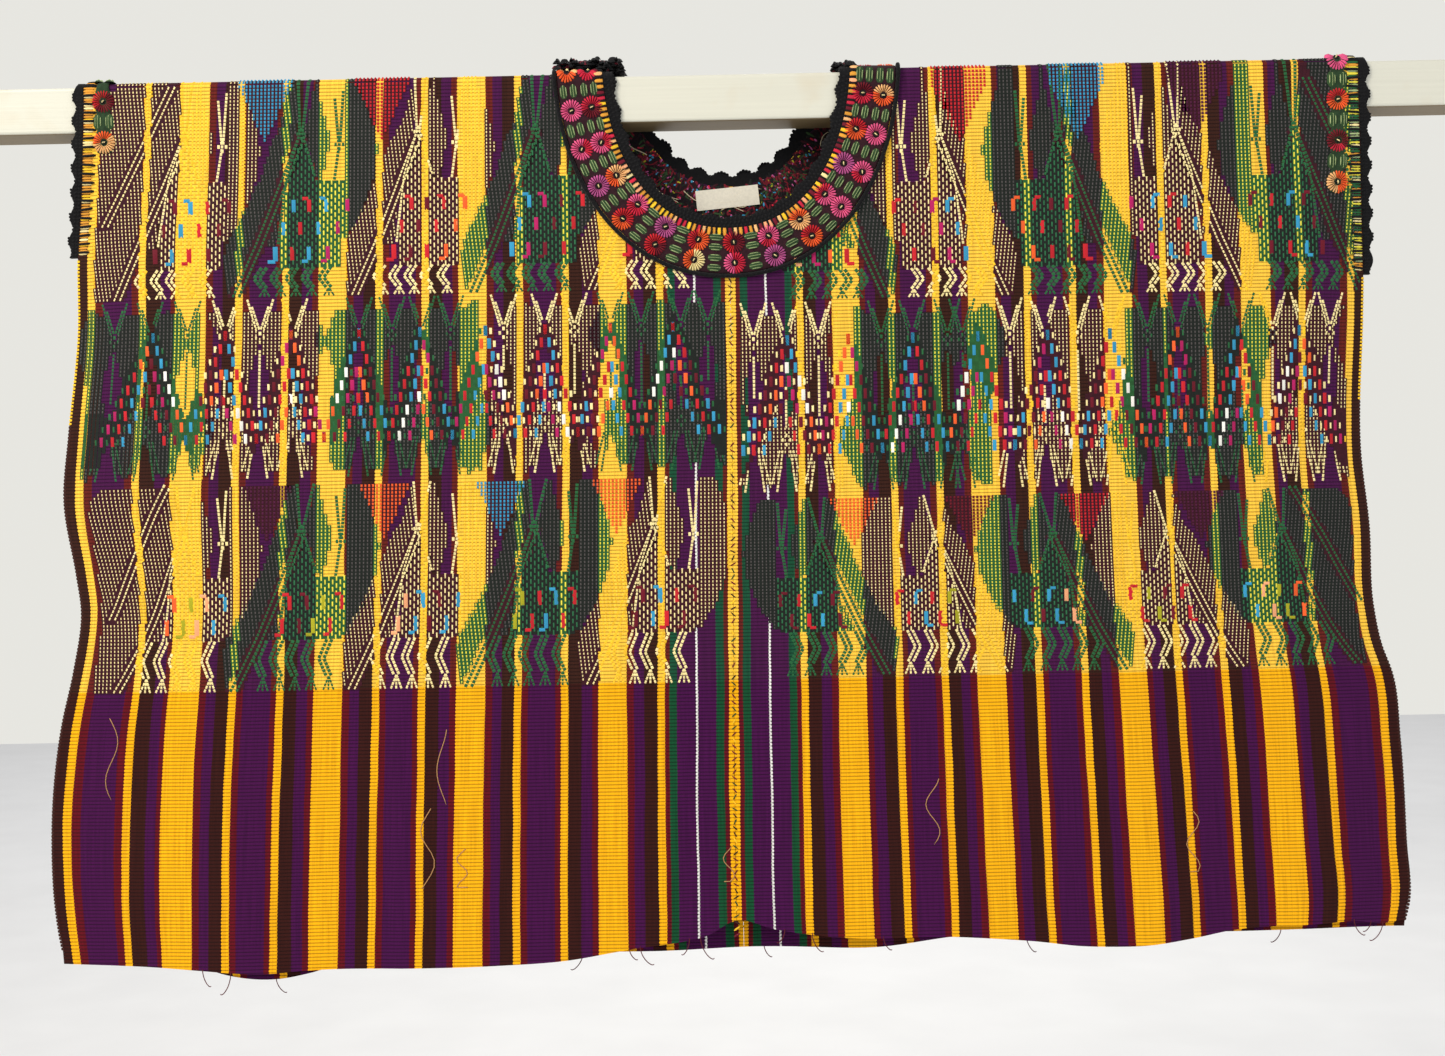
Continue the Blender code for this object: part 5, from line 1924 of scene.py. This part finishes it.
@dataclass(frozen=True)
class LooseThreads:
    """Cut ends of sewing and weft threads: thin tubes of four sides along soft curves."""

    radius: float = 0.35 * MM
    steps: int = 14
    # On the hems: middle x, length and sideways curl in millimetres
    front_ends: tuple = ((-397, 13, 3), (-376, 17, -4), (-84, 9, 3), (-76, 14, 5), (-40, 12, -3),
                         (-32, 17, 5), (30, 10, -3), (50, 14, 4), (102, 10, 3), (449, 12, 4),
                         (462, 8, -3), (471, 14, -5))
    back_ends: tuple = ((-350, 12, 4), (-120, 15, -5), (15, 10, 3), (210, 16, 4), (400, 11, -4))
    # On the cloth: x, run, length down the cloth, sway, turns
    laid: tuple = ((-230, 585, 70, 5, 1.5), (-218, 520, 55, 4, 0.8), (-205, 600, 40, 4, 2.0),
                   (-462, 510, 60, -5, 1.0), (-10, 600, 34, 4, 1.4), (140, 560, 48, 5, 1.2),
                   (330, 590, 52, -5, 1.6), (-60, -560, 60, 5, 1.3), (250, -540, 50, -5, 1.1))

    def tubes(self, paths: np.ndarray) -> tuple[np.ndarray, np.ndarray]:
        """Carry a square section along each path, square to it in the plane of x and z.

        Args:
            paths: points by thread and step.
        Returns:
            Points and quads.
        """
        along = np.gradient(paths, axis=1)
        side = np.stack((-along[..., 2], np.zeros(along.shape[:2]), along[..., 0]), axis=-1)
        side /= np.linalg.norm(side, axis=-1, keepdims=True)
        out = np.array((0.0, -1.0, 0.0))
        size = self.radius * np.array((1,) * (paths.shape[1] - 1) + (0.4,))[None, :, None, None]
        ring = np.stack((side, side * 0 + out, -side, side * 0 - out), axis=2)
        points = paths[:, :, None, :] + ring * size
        index = np.arange(points[..., 0].size).reshape(points.shape[:3])
        after = np.roll(index, -1, axis=2)
        quads = np.stack((index[:, :-1], after[:, :-1], after[:, 1:], index[:, 1:]), axis=-1)
        ends = np.concatenate((index[:, 0, ::-1], index[:, -1]))
        return points, np.concatenate((quads.reshape(-1, 4), ends))

    def hem_paths(self, face: Face, rows: tuple) -> np.ndarray:
        """Threads that hang from a hem: down by a sine of the length, aside by a cosine."""
        x, length, curl = (np.array(values)[:, None] * MM for values in zip(*rows))
        hem = FORM.front_hem if face is Face.FRONT else FORM.back_hem
        run = face.value * FORM.run_at(hem(x) + 1.5 * MM)
        share = np.linspace(0, 1, self.steps)[None, :]
        start = FORM.lifted(x, run, np.full(x.shape, FORM.cloth / 2))
        return np.stack((start[..., 0] + curl * (1 - np.cos(0.95 * pi * share)),
                         start[..., 1] + 0 * share,
                         start[..., 2] - length * np.sin(0.6 * pi * share)), axis=-1)

    def laid_paths(self) -> np.ndarray:
        """Threads that lie on the cloth: down the run, swaying by a sine."""
        x, run, length, sway, turns = (np.array(values, float)[:, None]
                                       for values in zip(*self.laid))
        share = np.linspace(0, 1, self.steps)[None, :]
        across = x + sway * np.sin(2 * pi * turns * share + x)
        down = run + np.sign(run) * length * (share - 0.5)
        down = np.clip(down, -616, 608)
        return FORM.lifted(across * MM, down * MM, np.full(down.shape, FORM.cloth / 2 + 0.3 * MM))

    def neck_paths(self) -> np.ndarray:
        """Threads inside the back of the neck: along the ring, swaying across it."""
        draw = np.random.default_rng(SEED + 12)
        count = 22
        start = draw.uniform(0.55, 0.93, count)[:, None]
        share = start + draw.uniform(0.012, 0.035, count)[:, None] * np.linspace(0, 1, self.steps)
        sway = draw.uniform(-6, 6, count)[:, None] * np.sin(
            2.2 * np.linspace(0, 1, self.steps)[None, :] * draw.uniform(0.6, 2, count)[:, None])
        offset = np.clip(draw.uniform(6, 27, count)[:, None] + sway, 1, 31)
        x, run, _ = RING.place(share, offset * MM)
        return FORM.lifted(x, run, np.full(x.shape, -(FORM.cloth / 2 + 1.1 * MM)))

    def build(self) -> None:
        """Build one piece of hem ends and one of each kind of loose thread."""
        hems = np.concatenate((self.hem_paths(Face.FRONT, self.front_ends),
                               self.hem_paths(Face.BACK, self.back_ends)))
        for name, paths, colour in (("hem_thread_ends", hems, "#5A1520"),
                                    ("threads_on_the_cloth", self.laid_paths(), "#B98A5A"),
                                    ("threads_inside_the_neck", self.neck_paths(), "#D8CBA8")):
            points, quads = self.tubes(paths)
            finish = Finish(f"cotton_sewing_thread_for_{name}", colour, 0.8, 0.05)
            add_mesh(name, points, outward(points, quads), finish.material())


class Label:
    """Bare woven tag sewn inside the back of the neck."""

    width = 47 * MM
    tall = 15 * MM
    thick = 0.7 * MM
    centre = (-0.6 * MM, -67.5 * MM)
    tilt = np.radians(5)
    clear = 0.7 * MM

    def build(self) -> bpy.types.Object:
        """A thin closed sheet, a grid bent to the cloth's inner side and lifted at its corners."""
        across, along = np.meshgrid(np.linspace(-0.5, 0.5, 25) * self.width,
                                    np.linspace(-0.5, 0.5, 9) * self.tall, indexing="ij")
        x = self.centre[0] + across * np.cos(self.tilt) - along * np.sin(self.tilt)
        height = self.centre[1] + across * np.sin(self.tilt) + along * np.cos(self.tilt)
        run = -FORM.run_at(height)
        curl = 0.5 * MM * (2 * np.abs(across) / self.width)**4
        near = FORM.lifted(x, run, -(FORM.cloth / 2 + self.clear + curl))
        far = FORM.lifted(x, run, -(FORM.cloth / 2 + self.clear + self.thick + curl))
        sections = np.concatenate((near, far[:, ::-1]), axis=1)
        tape = Finish("woven_cotton_tape", "#E3DDCB", 0.8, 0.1, 0.4 * MM, 0.06, 0.1 * MM)
        item = loft("neck_label", sections, False, tape.material(), 50)
        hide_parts("label")
        return item


@dataclass(frozen=True)
class PaintedWood:
    """Brushed white paint on a planed softwood batten: satin, with brush lines along it."""

    colour: str = "#D4D3C3"

    def material(self) -> bpy.types.Material:
        """Paint colour with long brush marks, soft blotches and worn, warmer spots, and painted
        shade on the underside.

        Returns:
            The new material.
        """
        material = bpy.data.materials.new("brushed_paint_on_planed_wood")
        material.use_nodes = True
        tree = material.node_tree
        shader = tree.nodes["Principled BSDF"]
        shader.inputs["Roughness"].default_value = 0.5
        place = add_node(tree, "ShaderNodeTexCoord").outputs["Object"]
        long = add_node(tree, "ShaderNodeMapping", {"Scale": (6.0, 420.0, 420.0)},
                        {"Vector": place})
        brush = add_node(tree, "ShaderNodeTexNoise", {"Scale": 1.0, "Detail": 3.0},
                         {"Vector": long.outputs["Vector"]})
        patch = add_node(tree, "ShaderNodeTexNoise", {"Scale": 22.0, "Detail": 3.0},
                         {"Vector": place})
        tone = add_node(tree, "ShaderNodeMapRange",
                        {"From Min": 0.3, "From Max": 0.7, "To Min": 0.97, "To Max": 1.02},
                        {"Value": brush.outputs["Fac"]})
        worn = add_node(tree, "ShaderNodeMapRange",
                        {"From Min": 0.62, "From Max": 0.75, "To Min": 0.0, "To Max": 0.35},
                        {"Value": patch.outputs["Fac"]})
        paint = add_node(tree, "ShaderNodeMix",
                         {"data_type": "RGBA", 6: linear(self.colour), 7: linear("#CDBFA2")},
                         {0: worn.outputs["Result"]})
        # Painted shade: the underside, below z -16.4 mm, is mixed to a dark taupe.
        split = add_node(tree, "ShaderNodeSeparateXYZ", links={"Vector": place})
        under = add_node(tree, "ShaderNodeMath", {"operation": "LESS_THAN", 1: -16.4 * MM},
                         {0: split.outputs["Z"]})
        faces = add_node(tree, "ShaderNodeMix", {"data_type": "RGBA", 7: linear("#7C6C4E")},
                         {0: under.outputs[0], 6: paint.outputs[2]})
        colour = add_node(tree, "ShaderNodeHueSaturation", {},
                          {"Color": faces.outputs[2], "Value": tone.outputs["Result"]})
        bump = add_node(tree, "ShaderNodeBump", {"Strength": 0.4, "Distance": 0.3 * MM},
                        {"Height": brush.outputs["Fac"]})
        tree.links.new(colour.outputs["Color"], shader.inputs["Base Color"])
        tree.links.new(bump.outputs["Normal"], shader.inputs["Normal"])
        return material


@dataclass(frozen=True)
class Studio:
    """Pale floor, soft light and the photograph's camera."""

    seen_width: float = 1.053
    distance: float = 1.28
    level: float = -314.4 * MM
    aside: float = -9.5 * MM
    roll: float = -1.2
    floor_level: float = -1.15

    def camera(self) -> None:
        """Camera square to the front, rolled as the photograph is."""
        data = bpy.data.cameras.new("camera")
        data.sensor_width = 36.0
        data.lens = 36.0 * self.distance / self.seen_width
        data.clip_start, data.clip_end = 0.05, 30.0
        item = bpy.data.objects.new("camera", data)
        item.location = (self.aside, -(19 * MM + self.distance), self.level)
        item.rotation_euler = (pi / 2, 0.0, 0.0)
        item.rotation_mode = "XYZ"
        turned = item.rotation_euler.to_matrix() @ item.rotation_euler.to_matrix().Rotation(
            np.radians(self.roll), 3, "Z")
        item.rotation_euler = turned.to_euler()
        bpy.context.scene.collection.objects.link(item)
        bpy.context.scene.camera = item

    def floor(self) -> None:
        """Wide pale floor well below the blouse."""
        mesh = bpy.data.meshes.new("floor")
        reach = 6.0
        mesh.from_pydata([(-reach, -reach, self.floor_level), (reach, -reach, self.floor_level),
                          (reach, reach, self.floor_level), (-reach, reach, self.floor_level)], [],
                         [(0, 1, 2, 3)])
        mesh.materials.append(Finish("pale_matt_floor", "#E9E9E8", 0.9, 0.0, 40 * MM, 0.02,
                                     0.1 * MM).material())
        item = bpy.data.objects.new("floor", mesh)
        bpy.context.scene.collection.objects.link(item)

    def light(self, name: str, place: tuple, power: float, size: float, colour: str,
              aim: tuple = (0.0, 0.0, -0.3)) -> None:
        """One square soft light that faces the blouse or another place."""
        data = bpy.data.lights.new(name, "AREA")
        data.energy, data.size = power, size
        data.color = linear(colour)[:3]
        item = bpy.data.objects.new(name, data)
        item.location = place
        towards = Vector(aim) - Vector(place)
        item.rotation_euler = towards.to_track_quat("-Z", "Y").to_euler()
        bpy.context.scene.collection.objects.link(item)

    def build(self) -> None:
        """Set up the camera, the floor, the sky light and the soft lights."""
        self.camera()
        self.floor()
        bpy.context.scene.view_settings.view_transform = "Standard"
        world = bpy.data.worlds.new("studio")
        world.use_nodes = True
        sky = world.node_tree.nodes["Background"]
        sky.inputs["Color"].default_value = linear("#F1F1F3")
        sky.inputs["Strength"].default_value = 0.62
        tree = world.node_tree
        backdrop = add_node(tree, "ShaderNodeBackground", {"Color": linear("#F7F6F0"),
                                                           "Strength": 0.86})
        seen = add_node(tree, "ShaderNodeLightPath").outputs["Is Camera Ray"]
        both = add_node(tree, "ShaderNodeMixShader", {}, {0: seen, 1: sky.outputs[0],
                                                          2: backdrop.outputs[0]})
        tree.links.new(both.outputs[0], tree.nodes["World Output"].inputs["Surface"])
        bpy.context.scene.world = world
        self.light("key", (-1.5, -1.5, 1.2), 52.0, 1.0, "#FFF9F0")
        self.light("fill", (1.6, -1.8, 0.2), 12.0, 1.6, "#F4F7FF")
        self.light("rear", (0.6, 2.2, 1.2), 22.0, 1.6, "#FFFDF8")
        self.light("floor_wash", (0.0, 4.6, 2.2), 70.0, 4.0, "#FFFFFF", (0.0, 4.8, -1.15))


def main() -> None:
    """Build the studio, the cloth, its brocade and its trims."""
    logging.basicConfig(level=logging.INFO, format="%(name)s: %(message)s")
    Studio().build()
    black = Finish("crocheted_black_cotton", "#0B0B0D", 0.9, 0.08, 0.7 * MM, 0.3, 0.6 * MM)
    black_cotton = black.material()
    cloth = WovenCloth().material("striped_backstrap_cotton")
    panels = [Panel(side).build(cloth) for side in Side]
    for face in Face:
        threads: dict[Yarn, list[Stitches]] = {}
        for brocade in BROCADES:
            for yarn, rows in brocade.build(face).items():
                threads.setdefault(yarn, []).extend(rows)
        for yarn, rows in threads.items():
            sew(f"{face.name.lower()}_brocade_{yarn.name.lower()}", Stitches.joined(rows), yarn,
                Template.PATCH if yarn in WEFT_GROUNDS else Template.FLOAT)
    NeckTrim().build(black_cotton)
    for hole in ARMHOLES.values():
        ArmholeTrim(hole).build(black_cotton)
    Seams().build()
    LooseThreads().build()
    label = Label().build()
    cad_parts["rod"].data.materials.clear()
    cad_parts["rod"].data.materials.append(PaintedWood().material())


if __name__ == "__main__":
    main()
